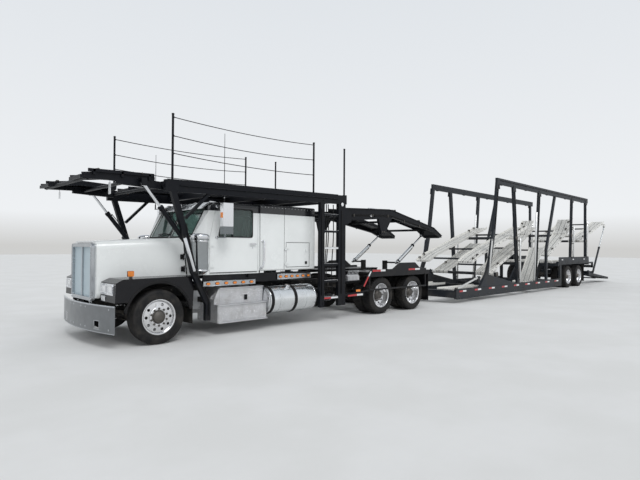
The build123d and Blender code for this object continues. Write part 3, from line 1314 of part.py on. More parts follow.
def trailer_frame():
    y0, y1 = BEAM_Y - BEAM_T, BEAM_Y
    beams = both(box(BEAM_REAR, BEAM_FRONT, y0, y1, BEAM_BOTTOM, BEAM_TOP))
    post_x = SIDE_POSTS[0][0]
    gusset = both(side_plate([
        (post_x + 450, BEAM_TOP - 5),
        (post_x + 80, GUSSET_TOP),
        (post_x - 130, GUSSET_TOP),
        (post_x - 2240, BEAM_TOP - 5),
    ], y0, y1))
    ties = [box(x - 60, x + 60, -y0 - 5, y0 + 5, BEAM_BOTTOM + 30, BEAM_TOP - 60) for x in BEAM_CROSS_X]
    coupler_z = STINGER_TOP + COUPLER_GAP
    coupler = rod((0, 0, coupler_z), (0, 0, coupler_z + COUPLER_T), COUPLER_R)
    neck = side_plate([
        (0, coupler_z),
        (-280, coupler_z),
        (-400, BEAM_BOTTOM + 60),
        (BEAM_FRONT - 60, BEAM_BOTTOM + 40),
        (BEAM_FRONT - 60, BEAM_TOP),
        (-340, coupler_z + COUPLER_T),
        (0, coupler_z + COUPLER_T),
    ], -NECK_HALF, NECK_HALF)
    spread = both(plan_plate([
        (-420, NECK_HALF - 50),
        (BEAM_FRONT - 10, y0 + 5),
        (BEAM_FRONT - 110, y0 + 5),
        (-620, NECK_HALF - 50),
    ], BEAM_BOTTOM + 60, BEAM_TOP - 40))
    pin_hole = rod((0, 0, coupler_z - 20), (0, 0, coupler_z + COUPLER_T + 30), PIN_R + PIN_CLEAR)
    # Inner rails pass between the wheels and carry the bed and the tail ramp's hinge
    inner_front = BEAM_REAR + 1000
    inner = both(side_plate([
        (inner_front, BEAM_BOTTOM + 60),
        (inner_front, BEAM_TOP - 60),
        (BED_FRONT - 50, BED_Z - BED_T),
        (BED_REAR - 400, BED_Z - BED_T),
        (TAIL_CROSS_X - 30, 500),
        (TAIL_CROSS_X + 170, 480),
        (BED_REAR + 100, INNER_RAIL_BOTTOM),
        (BEAM_REAR + 100, INNER_RAIL_BOTTOM),
        (BEAM_REAR + 600, BEAM_BOTTOM + 60),
    ], INNER_RAIL_Y - INNER_RAIL_T, INNER_RAIL_Y))
    bed_ends = [
        box(x - 60, x + 60, -y1, y1, BED_Z - BED_T - 120, BED_Z - BED_T)
        for x in (BED_FRONT - 60, BED_REAR + 60)
    ]
    uprights = both(box(BEAM_REAR, BEAM_REAR + 160, y0, y1, BEAM_TOP - 5, BED_Z - BED_T))
    ledge = both(box(BED_REAR, BED_FRONT, y0, y1, BED_Z - BED_T - 60, BED_Z))
    ramp_x, ramp_z = RAMP_PIVOT
    tail_half = RAMP_TUBE_Y + 10
    tail_cross = box(TAIL_CROSS_X - 90, TAIL_CROSS_X + 90, -tail_half, tail_half, ramp_z - 160, ramp_z - 40)
    ramp_lugs = both(box(ramp_x - 50, ramp_x + 50, TRACK_OUT, TRACK_OUT + 30, ramp_z - 60, ramp_z + 60))
    foot_x, foot_z = TAIL_CYL_FOOT
    foot_y = TAIL_CYL_Y - BARREL_R - CLEAR
    cyl_foot = both(box(foot_x - 80, ramp_x + 50, foot_y - 28, foot_y, foot_z - 120, foot_z + 50))
    cyl_pin = both(cross_rod(*TAIL_CYL_FOOT, foot_y - 10, TAIL_CYL_Y + 40, FOOT_PIN_R))
    hinge_x, hinge_z = LOWER_PIVOT
    hinge_plate = both(box(hinge_x - 70, hinge_x + 70, y0, y1, hinge_z - 140, hinge_z + 60))
    hinge_pin = both(cross_rod(*LOWER_PIVOT, DECK_TUBE_Y - DECK_PIN_REACH, y1, DECK_PIN_R))
    solids = weld(
        beams, gusset, ties, coupler, neck, spread, inner, bed_ends, uprights, ledge, tail_cross,
        ramp_lugs, cyl_foot, cyl_pin, hinge_plate, hinge_pin,
    )
    ramp_bore = cross_rod(*RAMP_PIVOT, -BEAM_Y, BEAM_Y, RAMP_TUBE_R + PIN_CLEAR)
    return [s - pin_hole - ramp_bore for s in solids]


def trailer_side_frames():
    """Upright side frames: top rails on leaning and upright posts, cut where they meet the frame."""
    y0, y1 = BEAM_Y - BEAM_T, BEAM_Y
    rail_ends = [(TOP_RAIL_FRONT, TOP_RAIL_FRONT_Z), (TOP_RAIL_REAR, TOP_RAIL_REAR_Z)]
    rail = ribbon(rail_ends, TOP_RAIL_DEPTH, y0, y1)
    bars = [member((fx, fz), (hx, hz), width, y0, y1) for fx, fz, hx, hz, width in SIDE_POSTS]
    strut = member((STRUT_X, BEAM_TOP), (STRUT_X, SIDE_POSTS[5][1] + 30), 110, y0, y1)
    pins = [
        cross_rod(*pivot, DECK_TUBE_Y - DECK_PIN_REACH, y1, DECK_PIN_R)
        for pivot in (FRONT_PIVOT, REAR_PIVOT, TAIL_PIVOT)
    ]
    # front and rear of a span, top of what the posts stand on there
    seats_on = (
        (SIDE_POSTS[0][0] + 300, SIDE_POSTS[0][0] - 300, GUSSET_TOP),
        (SIDE_POSTS[3][0] + 600, SIDE_POSTS[4][0] - 500, BEAM_TOP),
        (SIDE_POSTS[6][0] + 600, SIDE_POSTS[7][0] - 500, BED_Z),
    )
    below = [box(rear, front, y0 - 5, y1 + 5, 0, top) for front, rear, top in seats_on]
    frame = weld(rail, bars, strut, pins)
    return both([s for body in frame for s in (body - below).solids()])


def trailer_tracks():
    """Fixed wheel tracks: the well floor, the flap up from it and the bed over the axles."""
    floor = BEAM_TOP - 20
    well = track_pair([(BEAM_FRONT - 130, floor), (LOWER_PIVOT[0] + 200, floor)], 40)
    well += track_pair([(STRUT_X + 1400, floor), (STRUT_X + 770, floor)], 40)
    flap = track_pair([(STRUT_X + 800, floor + 10), (STRUT_X - 150, 1700)], 50)
    bed = track_pair([(BED_FRONT, BED_Z), (BED_REAR, BED_Z)], BED_T)
    return weld(well, flap) + weld(bed)


def trailer_axles():
    return weld(axle_pair(TRAILER_X, TRAILER_FACE_Y, INNER_RAIL_Y - INNER_RAIL_T / 2, INNER_RAIL_BOTTOM))


def cylinder_nodes(name):
    foot, eye, y, shown, held = CYLINDERS[name]
    return {
        f"{name}_cylinders": both(cylinder_barrel(foot, eye, y, shown)),
        f"{name}_rods": both(cylinder_rod(foot, eye, y, shown, held)),
    }


def tractor_nodes():
    nodes = {
        "tractor_frame": tractor_frame(),
        "powertrain": powertrain(),
        "front_axle": front_axle(),
        "drive_axles": drive_axles(),
        "bumper": bumper(),
        "cab_shell": cab_shell(),
        "cab_glass": cab_glass(),
        "sun_visor": sun_visor(),
        "seats": seats(),
        "dashboard": dashboard(),
        "sleeper_shell": sleeper_shell(),
        "air_cleaners": air_cleaners(),
        "tool_boxes": tool_boxes(),
        "fuel_tanks": fuel_tanks(),
        "side_skirts": side_skirts(),
        "drive_fenders": drive_fenders(),
        "head_rack": head_rack(),
        "hood_shell": hood_shell(),
        "front_fenders": front_fenders(),
        "grille": grille(),
        "grille_infill": grille_infill(),
        "headlamps": headlamps(),
        "steering_wheel": steering_wheel(),
        "head_ramp": head_ramp(),
        "truck_deck": truck_deck(),
        **cylinder_nodes("head"),
        **cylinder_nodes("truck_deck"),
    }
    for side, hand in ((1, "left"), (-1, "right")):
        nodes[f"door_{hand}"] = weld(door(side), mirror_assembly(side))
        nodes[f"door_glass_{hand}"] = door_glass(side)
        nodes[f"locker_door_{hand}"] = locker_door(side)
        nodes[f"knuckle_{hand}"] = knuckle(side)
        nodes[f"steer_tyre_{hand}"] = [handed(Pos(0, 0, TYRE_R) * tyre(STEER_FACE_Y), side)]
        nodes[f"steer_rim_{hand}"] = [handed(Pos(0, 0, TYRE_R) * steer_rim(), side)]
        for i, x in enumerate(DRIVE_X):
            nodes[f"drive_wheel_{i + 1}_{hand}"] = dual_wheel(x, DRIVE_FACE_Y, side)
    return nodes


def trailer_nodes():
    nodes = {
        "trailer_frame": trailer_frame(),
        "trailer_side_frames": trailer_side_frames(),
        "trailer_tracks": trailer_tracks(),
        "trailer_axles": trailer_axles(),
        "front_deck": hung_deck("front_deck", deck_tracks("front_flap")),
        "rear_deck": hung_deck("rear_deck", deck_tracks("rear_flap")),
        "lower_deck": hung_deck("lower_deck"),
        "tail_deck": tail_deck(),
        "tail_ramp": tail_ramp(),
        **cylinder_nodes("tail"),
    }
    for side, hand in ((1, "left"), (-1, "right")):
        for i, x in enumerate(TRAILER_X):
            nodes[f"trailer_wheel_{i + 1}_{hand}"] = dual_wheel(x, TRAILER_FACE_Y, side)
    return nodes


def build_nodes():
    """Every node, with the trailer's pin hole moved over the stinger's pin."""
    coupled = Pos(PIVOT_X, 0, 0)
    trailer = {name: [coupled * s for s in solids] for name, solids in trailer_nodes().items()}
    return {**tractor_nodes(), **trailer}


def main():
    os.makedirs("parts", exist_ok=True)
    nodes = build_nodes()
    whole = Compound([s for solids in nodes.values() for s in solids]).bounding_box()
    centre = Location((-(whole.min.X + whole.max.X) / 2, 0, 0))
    for name, solids in nodes.items():
        export_step(Compound([s.moved(centre) for s in solids]), f"parts/{name}.step")
    print(f"origin is {(whole.min.X + whole.max.X) / 2:.3f} mm from the front axle")
    return nodes


main()
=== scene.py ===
import bmesh
import bpy
from math import cos, hypot, pi, radians, sin
from mathutils import Matrix, Vector


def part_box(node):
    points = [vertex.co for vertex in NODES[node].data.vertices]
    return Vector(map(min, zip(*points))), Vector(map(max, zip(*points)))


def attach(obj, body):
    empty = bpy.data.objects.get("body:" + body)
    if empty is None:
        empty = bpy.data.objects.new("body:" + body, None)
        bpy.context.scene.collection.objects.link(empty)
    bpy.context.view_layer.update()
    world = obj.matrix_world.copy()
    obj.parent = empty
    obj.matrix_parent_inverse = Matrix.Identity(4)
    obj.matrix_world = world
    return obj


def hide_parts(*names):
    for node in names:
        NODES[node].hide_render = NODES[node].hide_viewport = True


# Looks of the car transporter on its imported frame. Places are metres from the front axle: X forward,
# Y left, Z up; AXLE moves them to the frame.

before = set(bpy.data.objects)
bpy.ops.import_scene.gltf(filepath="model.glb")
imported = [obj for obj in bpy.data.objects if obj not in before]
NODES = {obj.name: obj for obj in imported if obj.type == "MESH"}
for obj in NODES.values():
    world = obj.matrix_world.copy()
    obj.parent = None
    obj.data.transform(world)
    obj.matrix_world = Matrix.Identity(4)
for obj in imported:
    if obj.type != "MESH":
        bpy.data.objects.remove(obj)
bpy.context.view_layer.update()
tyre_low, tyre_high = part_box("steer_tyre_left")
AXLE = (tyre_low.x + tyre_high.x) / 2
TYRE_R = (tyre_high.z - tyre_low.z) / 2
X_AXIS, Y_AXIS, Z_AXIS = (1, 0, 0), (0, 1, 0), (0, 0, 1)

# Y of the wheel tracks, the side bars of rack and trailer, the rail's web, the sleeper and the fenders
TRACK_IN, TRACK_OUT = 0.550, 1.080
TRACK_MID, TRACK_HALF = (TRACK_IN + TRACK_OUT) / 2, (TRACK_OUT - TRACK_IN) / 2
BAR_MID, BAR_OUT = 1.260, 1.300
RAIL_WEB = 0.430
SLEEPER_WALL = 1.050
VALANCE_FACE = 1.285


# Materials


class Surface:
    """Principled material whose inputs come from small procedural graphs."""

    def __init__(self, name, rough, metal=0.0, coat=0.0):
        self.material = bpy.data.materials.new(name)
        self.material.use_nodes = True
        self.tree = self.material.node_tree
        self.shader = self.tree.nodes["Principled BSDF"]
        self.shader.inputs["Roughness"].default_value = rough
        self.shader.inputs["Metallic"].default_value = metal
        self.shader.inputs["Coat Weight"].default_value = coat
        self.shader.inputs["Coat Roughness"].default_value = 0.1
        self.place = self.node("ShaderNodeTexCoord").outputs["Object"]
        parts = self.node("ShaderNodeSeparateXYZ")
        self.tree.links.new(self.place, parts.inputs[0])
        self.x, self.y, self.z = parts.outputs

    def node(self, kind, **settings):
        made = self.tree.nodes.new(kind)
        for key, value in settings.items():
            setattr(made, key, value)
        return made

    def feed(self, socket, value):
        if hasattr(value, "is_linked"):
            self.tree.links.new(value, socket)
        elif isinstance(value, tuple) and len(value) == 3 and socket.type == "RGBA":
            socket.default_value = (*value, 1)
        else:
            socket.default_value = value

    def maths(self, operation, a, b=0.0):
        made = self.node("ShaderNodeMath", operation=operation)
        self.feed(made.inputs[0], a)
        self.feed(made.inputs[1], b)
        return made.outputs[0]

    def plus(self, a, b):
        return self.maths("ADD", a, b)

    def minus(self, a, b):
        return self.maths("SUBTRACT", a, b)

    def times(self, a, b):
        return self.maths("MULTIPLY", a, b)

    def size(self, a):
        return self.maths("ABSOLUTE", a)

    def stretch(self, value, low, high, out_low=0.0, out_high=1.0):
        made = self.node("ShaderNodeMapRange", interpolation_type="SMOOTHSTEP")
        for i, v in enumerate((value, low, high, out_low, out_high)):
            self.feed(made.inputs[i], v)
        return made.outputs[0]

    def noise(self, scale, detail=4.0, rough=0.55, squash=None):
        where = self.place
        if squash:
            mapping = self.node("ShaderNodeMapping")
            self.feed(mapping.inputs["Vector"], self.place)
            mapping.inputs["Scale"].default_value = squash
            where = mapping.outputs[0]
        made = self.node("ShaderNodeTexNoise")
        for key, value in (("Vector", where), ("Scale", scale), ("Detail", detail), ("Roughness", rough)):
            self.feed(made.inputs[key], value)
        return made.outputs["Fac"]

    def mix(self, share, a, b):
        made = self.node("ShaderNodeMix", data_type="RGBA")
        self.feed(made.inputs["Factor"], share)
        self.feed(made.inputs["A"], a)
        self.feed(made.inputs["B"], b)
        return made.outputs["Result"]

    def colour(self, value):
        self.feed(self.shader.inputs["Base Color"], value)

    def rough(self, value):
        self.feed(self.shader.inputs["Roughness"], value)

    def bump(self, height, distance):
        made = self.node("ShaderNodeBump")
        made.inputs["Distance"].default_value = distance
        self.feed(made.inputs["Height"], height)
        self.feed(self.shader.inputs["Normal"], made.outputs[0])

    def cells(self, pitch_x, pitch_y, squeeze=1.0):
        """Distance from the nearest centre of a staggered grid over X and Y; squeeze shortens X."""
        u = self.maths("DIVIDE", self.x, pitch_x)
        v = self.maths("DIVIDE", self.y, pitch_y)
        row = self.maths("FLOOR", v)
        u = self.plus(u, self.times(row, 0.5))
        du = self.times(self.minus(self.maths("FRACT", u), 0.5), pitch_x * squeeze)
        dv = self.times(self.minus(self.maths("FRACT", v), 0.5), pitch_y)
        return self.maths("SQRT", self.plus(self.maths("POWER", du, 2.0), self.maths("POWER", dv, 2.0)))


DUST = (0.30, 0.27, 0.23)
RUST = (0.16, 0.075, 0.035)
GRIME = (0.20, 0.18, 0.16)
CHROME = (0.80, 0.81, 0.83)
# Painted dark reflection on the mirrors' chrome below their seam
MIRROR_PAINTED_DARK_REFLECTION = (0.20, 0.22, 0.23)
MIRROR_SEAM = (2.028, 2.036)


def shaded(tint, by):
    """Colour multiplied by a factor."""
    return tuple(c * by for c in tint)


def painted(name, tint, rough, coat=0.0, dust=0.25, dust_top=1.6, chips=0.0, shine=0.5, band=None,
            bright_from=None):
    """Paint with faint mottling, dust that thickens downwards, and optional chips and top band; beyond
    |y| = bright_from it is the mirrors' chrome, with a painted dark reflection below their seam."""
    s = Surface(name, rough, coat=coat)
    s.shader.inputs["Specular IOR Level"].default_value = shine
    base = s.mix(s.stretch(s.noise(1.7, 5), 0.3, 0.7), shaded(tint, 0.95), tint)
    if band:
        height, other = band
        base = s.mix(s.stretch(s.z, height - 0.002, height + 0.002), base, other)
    low = s.stretch(s.z, dust_top, 0.2)
    patch = s.stretch(s.noise(3.5, 8, 0.65), 0.42, 0.72)
    share = s.times(s.plus(s.times(low, 0.7), 0.3), patch)
    share = s.times(share, dust)
    base = s.mix(share, base, DUST)
    if chips:
        spots = s.stretch(s.noise(34.0, 3, 0.6), 0.70, 0.74)
        spots = s.times(spots, chips)
        base = s.mix(spots, base, RUST)
    finish = s.stretch(share, 0.0, dust + 0.001, rough, min(rough + 0.35, 0.9))
    if bright_from:
        chrome_share = s.stretch(s.size(s.y), bright_from - 0.001, bright_from + 0.001)
        # Painted reflection: the chrome below the seam is coloured dark
        housing = s.mix(s.stretch(s.z, *MIRROR_SEAM), MIRROR_PAINTED_DARK_REFLECTION, CHROME)
        base = s.mix(chrome_share, base, housing)
        finish = s.minus(finish, s.times(chrome_share, rough - 0.09))
        s.feed(s.shader.inputs["Metallic"], chrome_share)
    s.colour(base)
    s.rough(finish)
    s.bump(s.noise(420.0, 2), 0.0004)
    return s.material


def bare_metal(name, tint, rough, brushed=None, grime=0.15, spread=0.08):
    """Metal with smudged roughness; brushed gives the grain's scale on each axis."""
    s = Surface(name, rough, metal=1.0)
    smudge = s.stretch(s.noise(5.0, 7, 0.6), 0.35, 0.7)
    dirt = s.times(s.stretch(s.noise(2.2, 9, 0.7), 0.5, 0.75), grime)
    s.colour(s.mix(dirt, s.mix(smudge, tint, shaded(tint, 0.9)), GRIME))
    s.rough(s.plus(s.stretch(smudge, 0.0, 1.0, rough, rough + spread), s.times(dirt, 0.6)))
    if brushed:
        s.bump(s.noise(60.0, 4, 0.6, brushed), 0.0006)
    return s.material


def tread_plate(name, tint):
    """Bright plate with raised crossed lozenges."""
    waves = 210.0
    s = Surface(name, 0.32, metal=1.0)
    u = s.times(s.plus(s.plus(s.x, s.z), s.y), waves)
    v = s.times(s.minus(s.plus(s.x, s.y), s.z), waves)
    a = s.times(s.maths("SINE", u), s.maths("COSINE", s.times(v, 0.5)))
    lugs = s.stretch(s.size(a), 0.45, 0.8)
    dirt = s.stretch(s.noise(4.0, 8, 0.7), 0.45, 0.75)
    s.colour(s.mix(s.times(dirt, 0.45), tint, (0.30, 0.28, 0.26)))
    s.rough(s.stretch(lugs, 0.0, 1.0, 0.42, 0.22))
    s.bump(lugs, 0.003)
    return s.material


def perforated(name, tint):
    """Punched walkway metal with fine slots and two lengthwise seams in painted shade; dark paint between
    the two tracks.
    """
    s = Surface(name, 0.5)
    across = s.size(s.y)
    from_middle = s.size(s.minus(across, TRACK_MID))
    face = s.stretch(from_middle, TRACK_HALF - 0.018, TRACK_HALF - 0.022)
    distance = s.cells(0.060, 0.030, squeeze=0.25)
    hole = s.times(s.stretch(distance, 0.0048, 0.0042), face)
    seam = s.stretch(s.size(s.minus(from_middle, 0.090)), 0.010, 0.008)
    edge = s.stretch(from_middle, 0.215, 0.220)
    stain = s.stretch(s.noise(2.6, 9, 0.68), 0.48, 0.74)
    base = s.mix(s.stretch(s.noise(9.0, 6), 0.35, 0.7), tint, shaded(tint, 0.9))
    base = s.mix(s.times(stain, 0.16), base, (0.30, 0.25, 0.20))
    base = s.mix(s.times(edge, 0.6), base, (0.90, 0.89, 0.86))
    # Painted shade: the slots and seams are darkened as if shadowed
    base = s.mix(s.times(s.maths("MAXIMUM", hole, seam), 0.85), base, (0.05, 0.05, 0.05))
    track = s.stretch(across, TRACK_IN - 0.002, TRACK_IN - 0.001)
    s.colour(s.mix(track, (0.014, 0.016, 0.020), base))
    s.feed(s.shader.inputs["Metallic"], s.times(track, 0.3))
    s.rough(s.stretch(hole, 0.0, 1.0, 0.46, 0.95))
    s.bump(s.times(s.maths("MAXIMUM", hole, seam), -1.0), 0.004)
    return s.material


def rubber(name, tint, dust, fine=160.0):
    """Dull rubber with dust in patches."""
    s = Surface(name, 0.8)
    s.shader.inputs["Specular IOR Level"].default_value = 0.25
    share = s.times(s.stretch(s.noise(6.0, 8, 0.65), 0.35, 0.75), dust)
    s.colour(s.mix(share, tint, (0.20, 0.18, 0.155)))
    s.rough(s.stretch(share, 0.0, dust, 0.62, 0.92))
    s.bump(s.noise(fine, 3), 0.0012)
    return s.material


def glazing(name, tint, clear):
    """Tinted glass with a thin film of dust."""
    s = Surface(name, 0.03)
    film = s.times(s.stretch(s.noise(3.0, 8, 0.7), 0.5, 0.8), 0.18)
    s.colour(s.mix(film, tint, (0.45, 0.44, 0.41)))
    s.shader.inputs["Transmission Weight"].default_value = clear
    s.shader.inputs["IOR"].default_value = 1.48
    s.rough(s.stretch(s.noise(2.0, 7, 0.7), 0.4, 0.8, 0.03, 0.14))
    return s.material


def lens(name, tint, glow=0.0):
    """Ribbed lamp plastic."""
    s = Surface(name, 0.12, coat=0.6)
    ribs = s.maths("SINE", s.times(s.plus(s.x, s.y), 900.0))
    s.colour(s.mix(s.stretch(ribs, -1.0, 1.0), tint, tuple(min(1.0, c * 1.35 + 0.02) for c in tint)))
    s.bump(ribs, 0.0008)
    s.shader.inputs["Emission Color"].default_value = (*tint, 1)
    s.shader.inputs["Emission Strength"].default_value = glow
    return s.material


def tape(name, pitch, first, second):
    """Reflective tape of two colours in turn along X, with its small embossed cells."""
    s = Surface(name, 0.28, coat=0.4)
    share = s.stretch(s.maths("FRACT", s.maths("DIVIDE", s.x, pitch)), 0.499, 0.501)
    base = s.mix(share, first, second)
    worn = s.stretch(s.noise(16.0, 7, 0.7), 0.58, 0.72)
    s.colour(s.mix(s.times(worn, 0.5), base, DUST))
    s.bump(s.stretch(s.cells(0.007, 0.006), 0.001, 0.003), 0.0003)
    return s.material


def woven(name, tint):
    """Seat cloth in a plain weave."""
    s = Surface(name, 0.9)
    threads = 1400.0
    warp = s.maths("SINE", s.times(s.x, threads))
    weft = s.maths("SINE", s.times(s.plus(s.y, s.z), threads))
    weave = s.times(warp, weft)
    s.colour(s.mix(s.stretch(weave, -1.0, 1.0), tint, shaded(tint, 1.5)))
    s.bump(weave, 0.0008)
    s.shader.inputs["Sheen Weight"].default_value = 0.3
    return s.material


WHITE = (0.88, 0.90, 0.89)
BLACK = (0.006, 0.006, 0.008)
BAND = (2.335, (0.010, 0.011, 0.014))
white = painted("white_paint", WHITE, 0.24, coat=0.4, dust=0.06)
white_banded = painted("white_paint_black_top", WHITE, 0.24, coat=0.4, dust=0.06, band=BAND)
door_paint = painted("door_paint", WHITE, 0.24, coat=0.4, dust=0.06, band=BAND, bright_from=1.060)
black = painted("black_paint", BLACK, 0.36, coat=0.05, dust=0.08, shine=0.22)
fender_black = painted("fender_black", BLACK, 0.16, coat=0.12, dust=0.03, dust_top=0.9, shine=0.25)
slate = painted("slate_frame_paint", (0.016, 0.020, 0.026), 0.45, dust=0.14, dust_top=2.6, chips=0.6,
                shine=0.25)
rack_paint = painted("rack_paint", (0.005, 0.006, 0.009), 0.42, dust=0.05, dust_top=2.4, chips=0.5,
                     shine=0.18)
chassis = painted("chassis_paint", (0.008, 0.008, 0.009), 0.6, dust=0.28, dust_top=1.4, chips=0.5, shine=0.2)
infill_paint = painted("infill_paint", (0.52, 0.62, 0.67), 0.45, dust=0.03)
cast = painted("cast_iron", (0.018, 0.017, 0.017), 0.75, dust=0.40, dust_top=1.6, chips=1.0, shine=0.25)
plate_grey = painted("grey_plate", (0.33, 0.34, 0.35), 0.5, dust=0.3)
chrome = bare_metal("chrome", CHROME, 0.09, grime=0.10)
cleaner_steel = bare_metal("cleaner_steel", (0.36, 0.38, 0.39), 0.13, grime=0.05)
satin = bare_metal("satin_steel", (0.52, 0.54, 0.56), 0.27, grime=0.04, spread=0.05)
bumper_steel = bare_metal("bumper_steel", (0.235, 0.245, 0.255), 0.30, grime=0.03, spread=0.04)
polished = bare_metal("polished_steel", (0.78, 0.80, 0.81), 0.20, grime=0.08)
alloy = bare_metal("polished_alloy", (0.78, 0.78, 0.79), 0.24, brushed=(1, 18, 1), grime=0.15)
brushed = bare_metal("brushed_aluminium", (0.66, 0.66, 0.67), 0.33, brushed=(1, 1, 22), grime=0.30)
slide_metal = bare_metal("slide_metal", (0.80, 0.80, 0.79), 0.28, brushed=(14, 14, 1), grime=0.12)
hub_metal = bare_metal("dark_hub", (0.14, 0.13, 0.12), 0.50, grime=0.5)
tread = tread_plate("tread_plate", (0.70, 0.70, 0.71))
track_metal = perforated("track_metal", (0.78, 0.77, 0.73))
edge_metal = painted("track_edge", (0.82, 0.81, 0.77), 0.40, dust=0.10, chips=0.4)
tyre_rubber = rubber("tyre_rubber", (0.009, 0.009, 0.010), 0.20)
trim_rubber = rubber("trim_rubber", (0.006, 0.006, 0.007), 0.08)
flap_rubber = rubber("mudflap_rubber", (0.009, 0.009, 0.009), 0.25, fine=60.0)
glass = glazing("tinted_glass", (0.30, 0.42, 0.39), 0.88)
mirror_glass = bare_metal("mirror_glass", (0.86, 0.88, 0.88), 0.02, grime=0.04, spread=0.02)
amber = lens("amber_lens", (0.85, 0.22, 0.015), 0.05)
red = lens("red_lens", (0.55, 0.012, 0.010), 0.03)
clear = lens("clear_lens", (0.80, 0.82, 0.84))
RED = (0.50, 0.015, 0.02)
red_white = tape("red_white_tape", 0.46, RED, (0.82, 0.83, 0.84))
red_tape = tape("red_tape", 1.0, RED, (0.48, 0.014, 0.02))
white_tape = tape("white_tape", 1.0, (0.78, 0.79, 0.80), (0.80, 0.81, 0.82))
cloth = woven("seat_weave", (0.055, 0.060, 0.070))
trim_plastic = painted("dash_plastic", (0.035, 0.035, 0.038), 0.62, dust=0.10)

PLAIN = {
    white_banded: ["cab_shell", "sleeper_shell"],
    door_paint: ["door_left", "door_right"],
    white: ["hood_shell", "locker_door_left", "locker_door_right"],
    fender_black: ["front_fenders"],
    black: ["drive_fenders", "side_skirts"],
    rack_paint: ["head_rack", "head_ramp", "truck_deck", "head_cylinders"],
    slate: ["trailer_frame", "trailer_side_frames", "tail_ramp", "tail_cylinders"],
    track_metal: ["front_deck", "rear_deck", "lower_deck", "tail_deck", "trailer_tracks"],
    chassis: ["tractor_frame"],
    cast: ["powertrain", "front_axle", "drive_axles", "trailer_axles", "knuckle_left", "knuckle_right"],
    satin: ["grille"],
    bumper_steel: ["bumper"],
    polished: ["sun_visor", "fuel_tanks", "truck_deck_cylinders"],
    infill_paint: ["grille_infill"],
    glass: ["cab_glass", "door_glass_left", "door_glass_right"],
    cloth: ["seats"],
    trim_plastic: ["dashboard", "steering_wheel"],
    chrome: ["head_rods", "truck_deck_rods", "headlamps"],
    cleaner_steel: ["air_cleaners", "tail_rods"],
    tread: ["tool_boxes"],
}
for material, names in PLAIN.items():
    for name in names:
        mesh = NODES[name].data
        mesh.materials.clear()
        mesh.materials.append(material)


# Shapes

# Where a point of an outline lies at a height along each axis
PLACE = {
    "x": lambda p, t: (t, p[0], p[1]),
    "y": lambda p, t: (p[0], t, p[1]),
    "z": lambda p, t: (p[0], p[1], t),
}


def about(middle, half):
    """Span of a half width to both sides of a middle."""
    return (middle - half, middle + half)


def over(side, low, high):
    """Span across Y on the left for side 1 and on the right for side -1."""
    return sorted((side * low, side * high))


def between(a, b, share):
    """Point at a share of the way from a to b."""
    return tuple(p + (q - p) * share for p, q in zip(a, b))


def oval(centre, wide, high, count, start=0.0):
    """Points evenly round an ellipse, as two coordinates."""
    turns = [start + 2 * pi * k / count for k in range(count)]
    return [(centre[0] + wide * cos(t), centre[1] + high * sin(t)) for t in turns]


